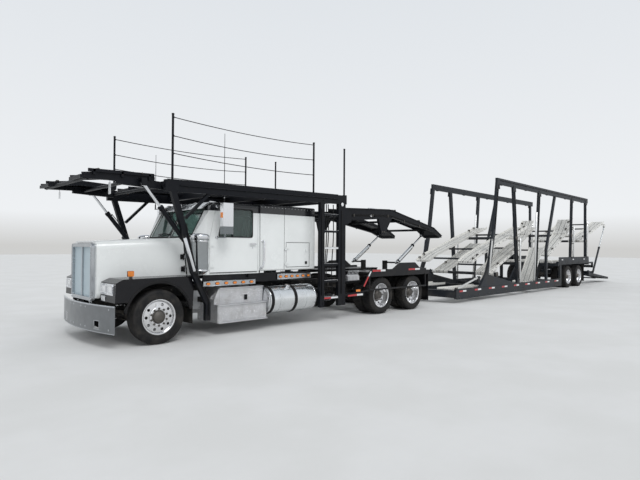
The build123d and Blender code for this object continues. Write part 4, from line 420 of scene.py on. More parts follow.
class Piece:
    """Gathers shapes and turns them into one object."""

    def __init__(self):
        self.verts, self.faces, self.finish, self.soft = [], [], [], []

    def add(self, verts, faces, finish=0, soft=False):
        base = len(self.verts)
        self.verts += [Vector(v) for v in verts]
        self.faces += [[base + i for i in face] for face in faces]
        self.finish += [finish] * len(faces)
        self.soft += [soft] * len(faces)

    def block(self, x, y, z, finish=0):
        """Box over the spans x, y and z."""
        corners = [(x[i], y[j], z[k]) for i in (0, 1) for j in (0, 1) for k in (0, 1)]
        faces = [(0, 1, 3, 2), (4, 6, 7, 5), (0, 4, 5, 1), (2, 3, 7, 6), (0, 2, 6, 4), (1, 5, 7, 3)]
        self.add(corners, faces, finish)

    def slab(self, outline, low, high, axis="y", finish=0):
        """Outline drawn from low to high along an axis; points are the other two coordinates."""
        n = len(outline)
        verts = [PLACE[axis](p, t) for t in (low, high) for p in outline]
        faces = [list(range(n))[::-1], list(range(n, 2 * n))]
        faces += [(i, (i + 1) % n, n + (i + 1) % n, n + i) for i in range(n)]
        self.add(verts, faces, finish)

    def strip(self, a, b, width, y, finish=0):
        """Flat bar in side view from a to b, each (x, z), over the span y."""
        dx, dz = b[0] - a[0], b[1] - a[1]
        nx, nz = -dz / hypot(dx, dz) * width / 2, dx / hypot(dx, dz) * width / 2
        upper = [(a[0] + nx, a[1] + nz), (b[0] + nx, b[1] + nz)]
        lower = [(b[0] - nx, b[1] - nz), (a[0] - nx, a[1] - nz)]
        self.slab(upper + lower, *y, "y", finish)

    def turned(self, profile, centre, axis, steps=32, finish=0, soft=True):
        """Profile of (along, radius) points turned about an axis through centre."""
        axis = Vector(axis).normalized()
        side = axis.orthogonal().normalized()
        other = axis.cross(side)
        centre = Vector(centre)
        verts = []
        for i in range(steps):
            a = 2 * pi * i / steps
            out = side * cos(a) + other * sin(a)
            verts += [centre + axis * along + out * r for along, r in profile]
        n = len(profile)
        faces = []
        for i in range(steps):
            j = (i + 1) % steps
            faces += [(i * n + k, j * n + k, j * n + k + 1, i * n + k + 1) for k in range(n - 1)]
        self.add(verts, faces, finish, soft)

    def hoop(self, span, inner, outer, centre, axis, steps, finish=0):
        """Flat band between two radii over a span of the axis."""
        a, b = span
        self.turned([(a, inner), (a, outer), (b, outer), (b, inner)], centre, axis, steps, finish)

    def rod(self, a, b, radius, steps=12, finish=0):
        """Round bar with eased ends."""
        a, b = Vector(a), Vector(b)
        length = (b - a).length
        tip = min(radius * 0.2, length * 0.2)
        near = [(0, 0), (0, radius - tip), (tip, radius)]
        far = [(length - tip, radius), (length, radius - tip), (length, 0)]
        self.turned(near + far, a, b - a, steps, finish)

    def across(self, x, z, y, radius, steps=12, finish=0):
        """Round bar over the span y."""
        self.rod((x, y[0], z), (x, y[1], z), radius, steps, finish)

    def pipe(self, path, radius, steps=10, finish=0, bend=0.0):
        """Round tube along points, with its corners rounded by bend."""
        points = [Vector(p) for p in path]
        if bend:
            points = rounded(points, bend)
        verts = []
        up = (points[1] - points[0]).orthogonal().normalized()
        for i, p in enumerate(points):
            before = (p - points[i - 1]).normalized() if i else (points[1] - p).normalized()
            after = (points[i + 1] - p).normalized() if i + 1 < len(points) else before
            run = (before + after).normalized()
            up = (up - run * up.dot(run)).normalized()
            side = run.cross(up)
            turns = [2 * pi * k / steps for k in range(steps)]
            verts += [p + (up * cos(t) + side * sin(t)) * radius for t in turns]
        faces = []
        for i in range(len(points) - 1):
            here, there = i * steps, (i + 1) * steps
            for k in range(steps):
                m = (k + 1) % steps
                faces.append((here + k, here + m, there + m, there + k))
        faces += [list(range(steps))[::-1], list(range(len(verts) - steps, len(verts)))]
        self.add(verts, faces, finish, True)

    def bolts(self, places, axis, radius=0.013, height=0.009, finish=0):
        """Six-sided heads with a washer."""
        washer = [(0, radius * 1.45), (height * 0.25, radius * 1.4), (height * 0.25, radius * 0.99)]
        head = [(height * 0.2, radius), (height, radius), (height, 0)]
        for p in places:
            self.turned(washer, p, axis, 12, finish, False)
            self.turned(head, p, axis, 6, finish, False)

    def make(self, name, body, materials, both=False, bevel=0.0, replaces=()):
        """Object from the gathered shapes; both adds the mirror image across the middle."""
        verts, faces = list(self.verts), list(self.faces)
        finish, soft = list(self.finish), list(self.soft)
        if both:
            base = len(verts)
            verts += [Vector((v.x, -v.y, v.z)) for v in self.verts]
            faces += [[base + i for i in face][::-1] for face in self.faces]
            finish, soft = finish * 2, soft * 2
        mesh = bpy.data.meshes.new(name)
        mesh.from_pydata([(v.x + AXLE, v.y, v.z) for v in verts], [], faces)
        for material in materials:
            mesh.materials.append(material)
        for polygon, f, s in zip(mesh.polygons, finish, soft):
            polygon.material_index = f
            polygon.use_smooth = s
        work = bmesh.new()
        work.from_mesh(mesh)
        bmesh.ops.remove_doubles(work, verts=work.verts, dist=1e-6)
        bmesh.ops.dissolve_degenerate(work, edges=work.edges, dist=1e-7)
        bmesh.ops.recalc_face_normals(work, faces=work.faces)
        work.to_mesh(mesh)
        work.free()
        made = bpy.data.objects.new(name, mesh)
        bpy.context.scene.collection.objects.link(made)
        if bevel:
            edge = made.modifiers.new("edge", "BEVEL")
            edge.width, edge.segments = bevel, 2
            edge.limit_method, edge.angle_limit = "ANGLE", radians(40)
        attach(made, body)
        if replaces:
            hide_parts(*replaces)
        return made


def eased(a, p, b, radius, steps):
    """Points that cut the corner p between a and b."""
    start, end = p + (a - p).normalized() * radius, p + (b - p).normalized() * radius
    shares = [k / steps for k in range(steps + 1)]
    return [start * (1 - t) ** 2 + p * 2 * t * (1 - t) + end * t ** 2 for t in shares]


def rounded(points, radius):
    """Open path whose inner corners are rounded."""
    out = [points[0]]
    for a, p, b in zip(points, points[1:], points[2:]):
        out += eased(a, p, b, min(radius, (a - p).length * 0.45, (b - p).length * 0.45), 5)
    return out + [points[-1]]


# Wheels

TYRE_W, DUAL_PITCH = 0.280, 0.325
RIM_R = 0.292
GROOVES = (-0.074, -0.026, 0.026, 0.074)
GROOVE_DEPTH, SHOULDER_CUT, WALL_CUT, BLOCK_CUT = 0.013, 0.014, 0.010, 0.009
LUGS = 44
LUG_PHASES = (0.0, 0.44, 0.50, 0.94)
# Rows of the tyre's section: floors of the grooves, tops of the walls, shoulders, and the middle blocks
FLOORS = (7, 8, 11, 12, 15, 16, 19, 20)
WALL_TOPS, SHOULDERS, BLOCKS, MIDDLE_ROW = (4, 23), (5, 6, 21, 22), range(9, 19), 12


def tread_depth(row, phase, lugs):
    """Depth of the cut at a row of the section; the first two phases of a lug are its gap."""
    gap = phase < 2
    if row in FLOORS:
        return GROOVE_DEPTH
    if lugs and gap and row in SHOULDERS:
        return SHOULDER_CUT
    if lugs and gap and row in WALL_TOPS:
        return WALL_CUT
    if lugs and row in BLOCKS and (row > MIDDLE_ROW) != gap:
        return BLOCK_CUT
    return 0.0


def tyre_shape(piece, x, y_out, side, lugs):
    """Tyre with its tread cut in; lugs is the number of blocks round it, 0 for straight ribs."""
    steps = lugs * 4 if lugs else 120
    half = TYRE_W / 2
    rows = [
        (-half + 0.022, RIM_R + 0.001), (-half + 0.008, RIM_R + 0.022), (-half, RIM_R + 0.070),
        (-half + 0.003, RIM_R + 0.105), (-half + 0.011, TYRE_R - 0.030),
    ]
    crown = [-half + 0.026]
    for g in GROOVES:
        crown += [g - 0.006, g - 0.004, g + 0.004, g + 0.006]
    crown += [half - 0.026]
    flat = [(v, TYRE_R - 0.012 * (abs(v) / half) ** 3) for v in crown]
    rows += flat + [(-v, r) for v, r in rows[::-1]]
    verts = []
    for i in range(steps):
        phase = i % 4
        turn = 2 * pi * i / steps
        if lugs:
            turn = 2 * pi * (i // 4 + LUG_PHASES[phase]) / lugs
        for k, (along, r) in enumerate(rows):
            r -= tread_depth(k, phase, lugs)
            verts.append((x + r * cos(turn), side * (y_out - half + along), TYRE_R + r * sin(turn)))
    n = len(rows)
    faces = []
    for i in range(steps):
        j = (i + 1) % steps
        faces += [(i * n + k, i * n + k + 1, j * n + k + 1, j * n + k) for k in range(n - 1)]
    piece.add(verts, faces, 0, not lugs)
    for radius, proud in ((RIM_R + 0.036, 0.0025), (TYRE_R - 0.060, 0.003)):
        for sign in (1, -1):
            bead = [(0, -0.004), (sign * proud, -0.002), (sign * proud, 0.002), (0, 0.004)]
            wall = side * (y_out - half + sign * (half - 0.004))
            piece.turned([(along, radius + r) for along, r in bead], (x, wall, TYRE_R), (0, side, 0), 72)


HAND_HOLES, HAND_HOLE_R = 10, 0.026
DISC_T, DISC_IN = 0.016, 0.115


def holed_disc(piece, x, y, side, outer, pitch_r, bulge):
    """Wheel disc out to a radius, with round hand holes at a pitch radius; its seen face is at y."""
    verts, faces = [], []
    per = 16
    half = pi / HAND_HOLES
    waist = 0.30 * DISC_IN + 0.70 * pitch_r - 0.01
    shoulder = 0.5 * (pitch_r + outer)

    def at(r, px, pz, face_y):
        """Point of the disc, bulged towards its hub."""
        return (x + px, face_y + side * bulge * (outer - r) / (outer - DISC_IN), TYRE_R + pz)

    for face_y in (y, y - side * DISC_T):
        for i in range(HAND_HOLES):
            mid = 2 * pi * i / HAND_HOLES
            start, end = mid - half, mid + half
            hub = [(DISC_IN, start + half * 2 * k / 4) for k in range(5)]
            rim = [(outer, start + half * 2 * k / 4) for k in range(5)]
            # Outer loop of the sector runs in step with the hole's loop
            loop = hub[2:] + [(waist, end), (pitch_r, end), (shoulder, end)] + rim[::-1]
            loop += [(shoulder, start), (pitch_r, start), (waist, start)] + hub[:2]
            base = len(verts)
            verts += [at(r, r * cos(a), r * sin(a), face_y) for r, a in loop]
            for k in range(per):
                # The hole's own angle starts towards the hub
                t = pi + 2 * pi * k / per
                u, v = pitch_r + HAND_HOLE_R * cos(t), HAND_HOLE_R * sin(-t)
                px, pz = u * cos(mid) - v * sin(mid), u * sin(mid) + v * cos(mid)
                verts.append(at(hypot(px, pz), px, pz, face_y))
            for k in range(per):
                m = (k + 1) % per
                faces.append((base + k, base + m, base + per + m, base + per + k))
    total = len(verts) // 2
    for i in range(HAND_HOLES):
        base = i * 2 * per + per
        for k in range(per):
            m = (k + 1) % per
            faces.append((base + k, base + m, total + base + m, total + base + k))
    piece.add(verts, faces, 0, False)


# Rims as (along from the lip, radius beyond RIM_R), hubs as (along from the disc, radius)
LIP_IN = 0.018
FRONT_DISC, DUAL_DISC = 0.055, 0.150
FRONT_RIM = (
    (-0.244, 0.0), (-0.244, -0.014), (-0.215, -0.030), (-0.067, -0.036), (-0.041, -0.030), (-0.019, -0.020),
    (-0.004, -0.013), (0.0, -0.004), (0.0, 0.012), (-0.008, 0.014), (-0.012, 0.0),
)
DUAL_RIM = (
    (-0.152, -0.064), (-0.128, -0.050), (-0.082, -0.028), (-0.050, -0.020), (-0.020, -0.013),
    (-0.003, -0.008), (0.0, -0.002), (0.0, 0.012), (-0.008, 0.014), (-0.012, 0.0), (-0.240, -0.002),
)
INNER_RIM = (
    (-0.557, 0.0), (-0.569, 0.012), (-0.569, -0.008), (-0.509, -0.022), (-0.232, -0.055), (-0.162, -0.060),
)
FRONT_FLANGE = ((0.021, 0.168), (0.027, 0.160), (0.029, 0.118), (0.022, 0.112))
FRONT_HUB = (
    (0.010, 0.116), (0.030, 0.108), (0.052, 0.098), (0.060, 0.086), (0.060, 0.070), (0.066, 0.064),
    (0.070, 0.030), (0.070, 0.0),
)
DUAL_HUB = ((-0.020, 0.120), (0.012, 0.116), (0.055, 0.104), (0.060, 0.090))
DRIVE_CAP = (
    (0.066, 0.088), (0.078, 0.086), (0.080, 0.070), (0.086, 0.050), (0.092, 0.030), (0.092, 0.0),
)
TRAILER_CAP = ((0.066, 0.080), (0.100, 0.078), (0.112, 0.068), (0.114, 0.030), (0.114, 0.0))
FRONT_NUT = (
    (0, 0.020), (0.004, 0.020), (0.004, 0.0165), (0.020, 0.0160), (0.026, 0.010), (0.030, 0.008), (0.030, 0),
)
DUAL_NUT = (
    (0, 0.022), (0.006, 0.021), (0.006, 0.0165), (0.028, 0.0160), (0.034, 0.010), (0.046, 0.009), (0.046, 0),
)
CAP_NUT = ((0, 0.010), (0.010, 0.009), (0.010, 0))
NUT_PITCH_R = 0.1425


def turned_from(piece, profile, along, radius, x, side, steps, finish=0):
    """Wheel ring from a profile measured from a place along the axle and a radius."""
    moved = [(along + a, radius + r) for a, r in profile]
    piece.turned(moved, (x, 0, TYRE_R), (0, side, 0), steps, finish)


def nut_ring(piece, profile, x, y, side, pitch_r, count, start, steps, soft=True):
    """Nuts evenly round the axle."""
    for px, pz in oval((x, TYRE_R), pitch_r, pitch_r, count, start):
        piece.turned(profile, (px, side * y, pz), (0, side, 0), steps, 1, soft)


def front_rim(piece, y_out, side):
    """Rim, holed disc, nuts and hub of a steered wheel."""
    lip, disc = y_out - LIP_IN, y_out - FRONT_DISC
    turned_from(piece, FRONT_RIM, lip, RIM_R, 0, side, 80)
    holed_disc(piece, 0, side * disc, side, RIM_R - 0.031, 0.215, 0.020)
    turned_from(piece, FRONT_FLANGE, disc, 0, 0, side, 64)
    nut_ring(piece, FRONT_NUT, 0, disc + 0.026, side, NUT_PITCH_R, HAND_HOLES, pi / HAND_HOLES, 12)
    turned_from(piece, FRONT_HUB, disc, 0, 0, side, 40, 1)


def dual_rim(piece, x, y_out, side, driven):
    """Dished rim of twin tyres, with its holed disc, nuts and hub."""
    lip, disc = y_out - LIP_IN, y_out - DUAL_DISC
    turned_from(piece, DUAL_RIM, lip, RIM_R, x, side, 80)
    turned_from(piece, INNER_RIM, lip, RIM_R, x, side, 64)
    holed_disc(piece, x, side * disc, side, RIM_R - 0.052, 0.206, -0.020)
    nut_ring(piece, DUAL_NUT, x, disc - 0.014, side, NUT_PITCH_R, HAND_HOLES, pi / HAND_HOLES, 12)
    turned_from(piece, DUAL_HUB + (DRIVE_CAP if driven else TRAILER_CAP), disc, 0, x, side, 40, 1)
    if driven:
        nut_ring(piece, CAP_NUT, x, disc + 0.077, side, 0.076, 8, 0.0, 6, False)


STEER_FACE = 1.200
# Twin wheels: group, outer face, axles, driven
TWINS = (
    ("drive", 1.250, (-5.863, -7.189), True),
    ("trailer", 1.270, (-18.508, -19.757), False),
)
for side, hand in ((1, "left"), (-1, "right")):
    body = f"steer_wheel_{hand}"
    shape = Piece()
    tyre_shape(shape, 0, STEER_FACE, side, 0)
    shape.make(f"steer_tread_{hand}", body, [tyre_rubber], replaces=[f"steer_tyre_{hand}"])
    shape = Piece()
    front_rim(shape, STEER_FACE, side)
    shape.make(f"steer_disc_{hand}", body, [alloy, hub_metal], replaces=[f"steer_rim_{hand}"])
    for group, face, places, driven in TWINS:
        for i, x in enumerate(places):
            body = f"{group}_wheel_{i + 1}_{hand}"
            shape = Piece()
            for y_out in (face, face - DUAL_PITCH):
                tyre_shape(shape, x, y_out, side, LUGS if driven else 0)
            shape.make(f"{group}_tread_{i + 1}_{hand}", body, [tyre_rubber], replaces=[body])
            shape = Piece()
            dual_rim(shape, x, face, side, driven)
            shape.make(f"{group}_disc_{i + 1}_{hand}", body, [alloy, hub_metal])


# Shared outlines


def round_outline(points, radius):
    """Closed outline with its corners rounded; as many points per corner whatever the radius."""
    loop = [Vector(p) for p in points]
    out = []
    for a, p, b in zip(loop[-1:] + loop, loop, loop[1:] + loop[:1]):
        out += [tuple(spot) for spot in eased(a, p, b, radius, 4)]
    return out


def grown(points, by):
    """Four-cornered outline moved outwards by a distance."""
    centre = sum((Vector(p) for p in points), Vector((0, 0))) / len(points)
    return [tuple(Vector(p) + Vector([by if d > 0 else -by for d in Vector(p) - centre])) for p in points]


def ring(piece, outer, inner, low, high, axis="y", finish=0):
    """Prism between two outlines with as many points each."""
    n = len(outer)
    verts = [PLACE[axis](p, t) for t in (low, high) for loop in (outer, inner) for p in loop]
    faces = []
    for i in range(n):
        j = (i + 1) % n
        faces += [(i, j, n + j, n + i), (2 * n + i, 3 * n + i, 3 * n + j, 2 * n + j),
                  (i, 2 * n + i, 2 * n + j, j), (n + i, n + j, 3 * n + j, 3 * n + i)]
    piece.add(verts, faces, finish)


def frame_around(piece, corners, radius, out, into, low, high, axis="y", finish=0):
    """Rounded gasket or bezel round a four-cornered opening."""
    outer = round_outline(grown(corners, out), radius + out)
    inner = round_outline(grown(corners, -into), max(radius - into, 0.002))
    ring(piece, outer, inner, low, high, axis, finish)


def rect(x0, x1, z0, z1):
    """Corners of an upright rectangle."""
    return [(x0, z0), (x1, z0), (x1, z1), (x0, z1)]


def lamp_disc(piece, centre, axis, radius, rim, face, depth=0.012):
    """Round lamp: bezel ring with a domed lens."""
    bezel = [(0, radius), (depth, radius), (depth, radius * 0.86), (depth * 0.4, radius * 0.84)]
    dome = [(depth * 0.5, radius * 0.85), (depth * 1.15, radius * 0.6), (depth * 1.35, 0)]
    piece.turned(bezel, centre, axis, 24, rim)
    piece.turned(dome, centre, axis, 24, face)


# Front end

BUMPER_R = 4.731
BUMPER_NOSE = 0.930
BUMPER_HALF = 1.215


def bumper_x(y):
    """Front of the bumper's curved skin."""
    return BUMPER_NOSE - BUMPER_R + (BUMPER_R ** 2 - y ** 2) ** 0.5


def bumper_trim():
    """Rolled edges, rims of the tow holes and bolt heads."""
    p = Piece()
    steps = 40
    places = [BUMPER_HALF * (2 * i / steps - 1) for i in range(steps + 1)]
    for z, radius in ((0.256, 0.008), (0.690, 0.014)):
        p.pipe([(bumper_x(y) - 0.006, y, z) for y in places], radius, 8)
    hole = round_outline(rect(0.660, 0.820, 0.300, 0.440), 0.012)
    for side in (1, -1):
        loop = [(bumper_x(y) - 0.004, side * y, z) for y, z in hole]
        p.pipe(loop + loop[:1], 0.007, 8)
    head = [(0, 0.017), (0.004, 0.015), (0.008, 0.007), (0.008, 0)]
    for y in (-1.08, -0.36, -0.18, 0.18, 0.36, 1.08):
        for z in (0.315, 0.640):
            p.turned(head, (bumper_x(y) - 0.002, y, z), X_AXIS, 16)
    p.make("bumper_trim", "tractor", [satin])


# Hood: ends, half width and top at its rear, and what both lose towards the nose
HOOD_REAR, HOOD_NOSE = -0.660, 0.810
HOOD_HALF, HOOD_TAPER = 0.900, 0.340
HOOD_TOP, HOOD_FALL = 1.820, 0.080


def along_hood(x):
    """Share of the way from the hood's rear to its nose."""
    return (x - HOOD_REAR) / (HOOD_NOSE - HOOD_REAR)


def hood_half(x):
    """Half width of the hood."""
    return HOOD_HALF - along_hood(x) * HOOD_TAPER


def hood_top(x):
    """Height of the hood's top."""
    return HOOD_TOP - along_hood(x) * HOOD_FALL


def hood_trim():
    """Rear seal and rubber latches of the hood, and the bright plate on its nose."""
    p = Piece()
    rear, foot, foot_z = -0.592, HOOD_REAR + 0.004, 1.150
    wide, high = hood_half(rear), hood_top(rear)
    foot_y = wide + 0.014
    seal = [(foot, foot_y, foot_z), (rear, wide, high), (rear, -wide, high), (foot, -foot_y, foot_z)]
    p.pipe(seal, 0.012, 10, 0, 0.15)
    for side in (1, -1):
        for x, z in ((-0.585, 1.47), (-0.600, 1.25)):
            y = hood_half(x) - 0.002
            pin = (x - 0.005, side * (y + 0.024))
            p.block((x - 0.020, x + 0.050), over(side, y, y + 0.020), about(z, 0.045))
            p.rod((*pin, z - 0.060), (*pin, z + 0.060), 0.011, 10)
            p.block((x - 0.062, x - 0.020), over(side, y + 0.004, y + 0.022), about(z, 0.028), 1)
    p.block((0.808, 0.835), about(0, 0.36), (1.712, 1.726), 1)
    p.make("hood_trim", "hood", [trim_rubber, chrome], bevel=0.002)


def grille_trim():
    """Bright bezels inside and round the grille, and its centre bar."""
    p = Piece()
    low, high, half, face, out = 0.790, 1.645, 0.445, 0.870, 0.055
    surround = rect(-half - out, half + out, low - out, high + out)
    frame_around(p, rect(-half, half, low, high), 0.030, 0.014, 0.006, *about(face, 0.006), "x")
    frame_around(p, surround, 0.070, -0.001, 0.012, face - 0.004, face + 0.005, "x")
    p.block((0.832, 0.862), about(0, 0.012), (low, high))
    p.make("grille_trim", "hood", [satin], bevel=0.0015)


LAMP_FACE, LAMP_Z = 0.755, 0.955


def headlamp_trim():
    """Two rectangular lamps in a bright bezel, with the signal below."""
    p = Piece()
    face, steps = LAMP_FACE, 8
    row = steps + 1
    reflector = [(0.001, 0.052), (0.003, 0.050), (0.003, 0.018), (0.010, 0.016), (0.010, 0)]
    for centre in (0.739, 0.991):
        rim = rect(*about(centre, 0.112), 0.889, 1.021)
        frame_around(p, rim, 0.016, 0.007, 0.004, face - 0.004, face + 0.014, "x")
        verts = []
        for i in range(row):
            for j in range(row):
                u, v = i / steps * 2 - 1, j / steps * 2 - 1
                bulge = 0.012 * (1 - u * u) * (1 - v * v)
                verts.append((face + 0.004 + bulge, centre + u * 0.108, LAMP_Z + v * 0.063))
        corners = [i * row + j for i in range(steps) for j in range(steps)]
        p.add(verts, [(k, k + 1, k + row + 1, k + row) for k in corners], 1, True)
        p.turned(reflector, (face, centre, LAMP_Z), X_AXIS, 20)
    back = face - 0.020
    frame_around(p, rect(0.604, 1.126, 0.869, 1.041), 0.018, 0.006, 0.008, back, face + 0.005, "x")
    p.block((back, face + 0.006), (0.634, 0.786), (0.766, 0.829), 1)
    frame_around(p, rect(0.628, 0.792, 0.760, 0.835), 0.010, 0.008, 0.0, back, face + 0.004, "x")
    p.make("headlamp_trim", "hood", [chrome, clear], both=True)


def fender_trim():
    """Rolled lips and splash flap of the front fender, and the amber marker on its top."""
    p = Piece()
    arc = [radians(9.5 + 161 * i / 40) for i in range(41)]
    for arch, y, radius in ((0.597, 1.190, 0.013), (0.575, 1.186, 0.008)):
        p.pipe([(arch * cos(a), y, TYRE_R + arch * sin(a)) for a in arc], radius, 8)
    p.block((-0.640, -0.628), (0.700, 1.160), (0.285, 0.640), 1)
    p.block((-0.648, -0.620), (0.690, 1.165), (0.600, 0.640), 2)
    p.bolts([(-0.627, y, 0.620) for y in (0.74, 0.86, 0.98, 1.10)], X_AXIS, 0.008, 0.006, 2)
    p.block(about(0.420, 0.025), about(1.000, 0.010), (1.116, 1.152), 2)
    p.slab(round_outline(rect(0.366, 0.474, 1.150, 1.246), 0.014), 0.978, 0.994, "y", 2)
    p.slab(round_outline(rect(0.370, 0.470, 1.154, 1.242), 0.012), 0.994, 1.018, "y", 3)
    p.make("fender_trim", "hood", [trim_rubber, flap_rubber, hub_metal, amber], both=True)


# Cab and sleeper

SCREEN_FOOT, SCREEN_HEAD = Vector((-0.745, 0, 1.800)), Vector((-1.080, 0, 2.430))
SCREEN_UP = (SCREEN_HEAD - SCREEN_FOOT).normalized()
SCREEN_OUT = Vector((SCREEN_UP.z, 0, -SCREEN_UP.x))


def on_screen(up, y, out):
    """Place on the windscreen: up from its foot, across, and out from its face."""
    return SCREEN_FOOT + SCREEN_UP * up + SCREEN_OUT * out + Vector((0, y, 0))


def screen_trim():
    """Gaskets and wipers of the windscreen, and the vent bars at its foot."""
    p = Piece()
    for side in (1, -1):
        path = [on_screen(up, side * y, 0.002) for y, up in rect(0.025, 0.845, 0.045, 0.683)]
        p.pipe(rounded(path + [path[0], path[1]], 0.035)[3:], 0.011, 8)
    cap = [(0, 0.022), (0.012, 0.020), (0.018, 0.010), (0.018, 0)]
    for y, tip in ((0.30, 0.78), (-0.52, -0.04)):
        pivot = on_screen(-0.012, y, 0.012)
        elbow = on_screen(0.115, (y + tip) / 2 + 0.06, 0.034)
        low, middle, high = tip - 0.46, tip - 0.20, tip + 0.04
        bow = ((0.098, low, 0.018), (0.118, middle, 0.024), (0.098, high, 0.018))
        p.turned(cap, pivot, SCREEN_OUT, 16, 1)
        p.pipe([pivot + SCREEN_OUT * 0.014, elbow], 0.006, 8, 1)
        p.pipe([on_screen(*spot) for spot in bow], 0.006, 6, 1)
        p.pipe([on_screen(0.096, y, 0.010) for y in (low, high)], 0.005, 6)
    for i in range(24):
        p.block((-0.722, -0.640), about(-0.69 + 0.06 * i, 0.008), (1.792, 1.806), 1)
    p.make("screen_trim", "tractor", [trim_rubber, black])


def visor_trim():
    """Stiffening ribs of the sun visor."""
    p = Piece()
    rib = [(-1.290, 2.511), (-1.172, 2.511), (-0.975, 2.387)]
    rib += [(-0.975, 2.396), (-1.172, 2.530), (-1.290, 2.520)]
    for y in (-0.84, -0.28, 0.28, 0.84):
        p.slab(rib, *about(y, 0.008))
    p.make("visor_trim", "tractor", [chrome], bevel=0.0015)


DOOR_WINDOW = [(-1.370, 2.385), (-2.030, 2.385), (-2.030, 1.850), (-1.250, 1.850)]


def door_trim(side, hand):
    """Gasket, vent bar, handle and lock of a cab door, and its mirror's glasses and marker."""
    p = Piece()
    gasket, mirror, outward = over(side, 1.012, 1.029), over(side, 1.224, 1.326), (0, side, 0)
    outer = round_outline(grown(DOOR_WINDOW, 0.014), 0.050)
    inner = round_outline(grown(DOOR_WINDOW, -0.004), 0.040)
    ring(p, outer, inner, *gasket)
    p.strip((-1.560, 1.852), (-1.560, 2.383), 0.020, gasket)
    p.block((-2.112, -1.962), over(side, 1.040, 1.056), (1.696, 1.734), 1)
    p.turned([(0, 0.015), (0.008, 0.013), (0.008, 0)], (-2.045, side * 1.020, 1.640), outward, 16, 1)
    p.block((-2.155, -1.065), over(side, 1.018, 1.024), (1.158, 1.172))
    # Mirror glasses on the rear face of the head, the bar between them, and the marker in front
    for height in ((2.040, 2.456), (1.904, 2.018)):
        p.block((-1.3735, -1.368), mirror, height, 2)
    p.block((-1.376, -1.366), over(side, 1.217, 1.333), (2.022, 2.036))
    p.block((-1.152, -1.138), over(side, 1.250, 1.300), (2.190, 2.290), 3)
    for z in (1.830, 2.420):
        p.turned([(0, 0.034), (0.012, 0.030), (0.020, 0.018)], (-1.210, side * 1.018, z), outward, 16, 1)
    finishes = [trim_rubber, chrome, mirror_glass, amber]
    p.make(f"door_trim_{hand}", f"door_{hand}", finishes, bevel=0.0012)


def sleeper_trim():
    """Seams, locker lock and rivets of the sleeper's side, and the grab handle before it."""
    p = Piece()
    wall, held, out = SLEEPER_WALL, SLEEPER_WALL - 0.004, SLEEPER_WALL + 0.060
    p.block(about(-2.840, 0.003), (wall - 0.002, wall + 0.0025), (1.190, 2.480))
    frame_around(p, rect(-3.556, -2.894, 1.234, 1.756), 0.012, 0.004, 0.0, wall - 0.002, wall + 0.004)
    p.block((-3.490, -3.430), (wall, wall + 0.008), (1.290, 1.350))
    rivets = [(-2.24 - 0.09 * i, wall, z) for z in (1.195, 2.470) for i in range(17)]
    p.bolts(rivets, Y_AXIS, 0.0045, 0.0025, 2)
    head, foot = (-2.268, 1.770), (-2.222, 1.235)
    handle = [(head[0], held, head[1]), (head[0], out, head[1]), (head[0], out, 1.360)]
    handle += [(foot[0], out, foot[1]), (foot[0], held, foot[1])]
    p.pipe(handle, 0.018, 12, 1, 0.035)
    for x, z in (head, foot):
        p.turned([(0, 0.032), (0.006, 0.030), (0.010, 0.020)], (x, wall, z), Y_AXIS, 16, 1)
    p.strip((-2.204, 1.150), (-2.204, 2.480), 0.006, (1.016, 1.052))
    p.make("sleeper_trim", "tractor", [trim_rubber, chrome, white], both=True)


def aerials():
    """Whip aerials on brackets at the cab's eaves, by the doors."""
    p = Piece()
    foot_z = 2.460
    for side, x, top in ((1, -1.283, 3.784), (-1, -1.025, 3.647)):
        y, length = side * 1.150, top - foot_z
        whip = [(0, 0.014), (0.10, 0.012), (0.12, 0.008), (length, 0.0045), (length, 0)]
        p.block(about(x, 0.012), over(side, 0.990, 1.166), (2.452, 2.467), 1)
        p.turned(whip, (x, y, foot_z), Z_AXIS, 10, 1)
        p.rod((x, y, 2.560), (x, y, 2.600), 0.010)
    p.make("aerials", "tractor", [chrome, black])


def cleaner_trim():
    """Domed caps and clamping bands of the air cleaners."""
    p = Piece()
    x, foot = -0.800, (-0.800, 1.110, 0)
    cap = [(1.795, 0.156), (1.800, 0.166), (1.850, 0.168), (1.870, 0.160), (1.893, 0.110)]
    p.turned(cap + [(1.900, 0.040), (1.900, 0)], foot, Z_AXIS, 40)
    for z in (1.215, 1.745):
        p.hoop((z, z + 0.028), 0.155, 0.161, foot, Z_AXIS, 40)
        p.block(about(x, 0.026), (1.262, 1.282), (z - 0.002, z + 0.030))
    p.make("cleaner_trim", "tractor", [chrome], both=True)


# Side equipment

# Bright strips under cab and sleeper: rear end, front end, low and high edge
STRIPS = ((-2.110, -0.930, 0.920, 1.010), (-3.630, -2.680, 0.985, 1.090))
STRIP_LAMPS = 6


def lamp_strips():
    """Bright strips below the cab and sleeper, with six amber lamps each, and a vent."""
    p = Piece()
    face = 1.030
    for x0, x1, z0, z1 in STRIPS:
        p.block((x0, x1), (face - 0.006, face), (z0, z1))
        for z in (z0, z1):
            p.pipe([(x0, face, z), (x1, face, z)], 0.005, 6)
        for i in range(STRIP_LAMPS):
            centre = (x0 + (x1 - x0) * (i + 0.5) / STRIP_LAMPS, (z0 + z1) / 2)
            inner = oval(centre, 0.041, 0.022, 20)
            ring(p, oval(centre, 0.048, 0.029, 20), inner, 1.029, 1.036, "y", 2)
            p.slab(inner, 1.029, 1.041, "y", 1)
    p.block(about(-1.955, 0.035), (1.018, 1.045), (1.055, 1.120), 2)
    for i in range(4):
        z = 1.062 + 0.014 * i
        p.block(about(-1.955, 0.029), (1.043, 1.050), (z, z + 0.006), 2)
    p.make("lamp_strips", "tractor", [satin, amber, black], both=True)


BOX_REAR = -2.300
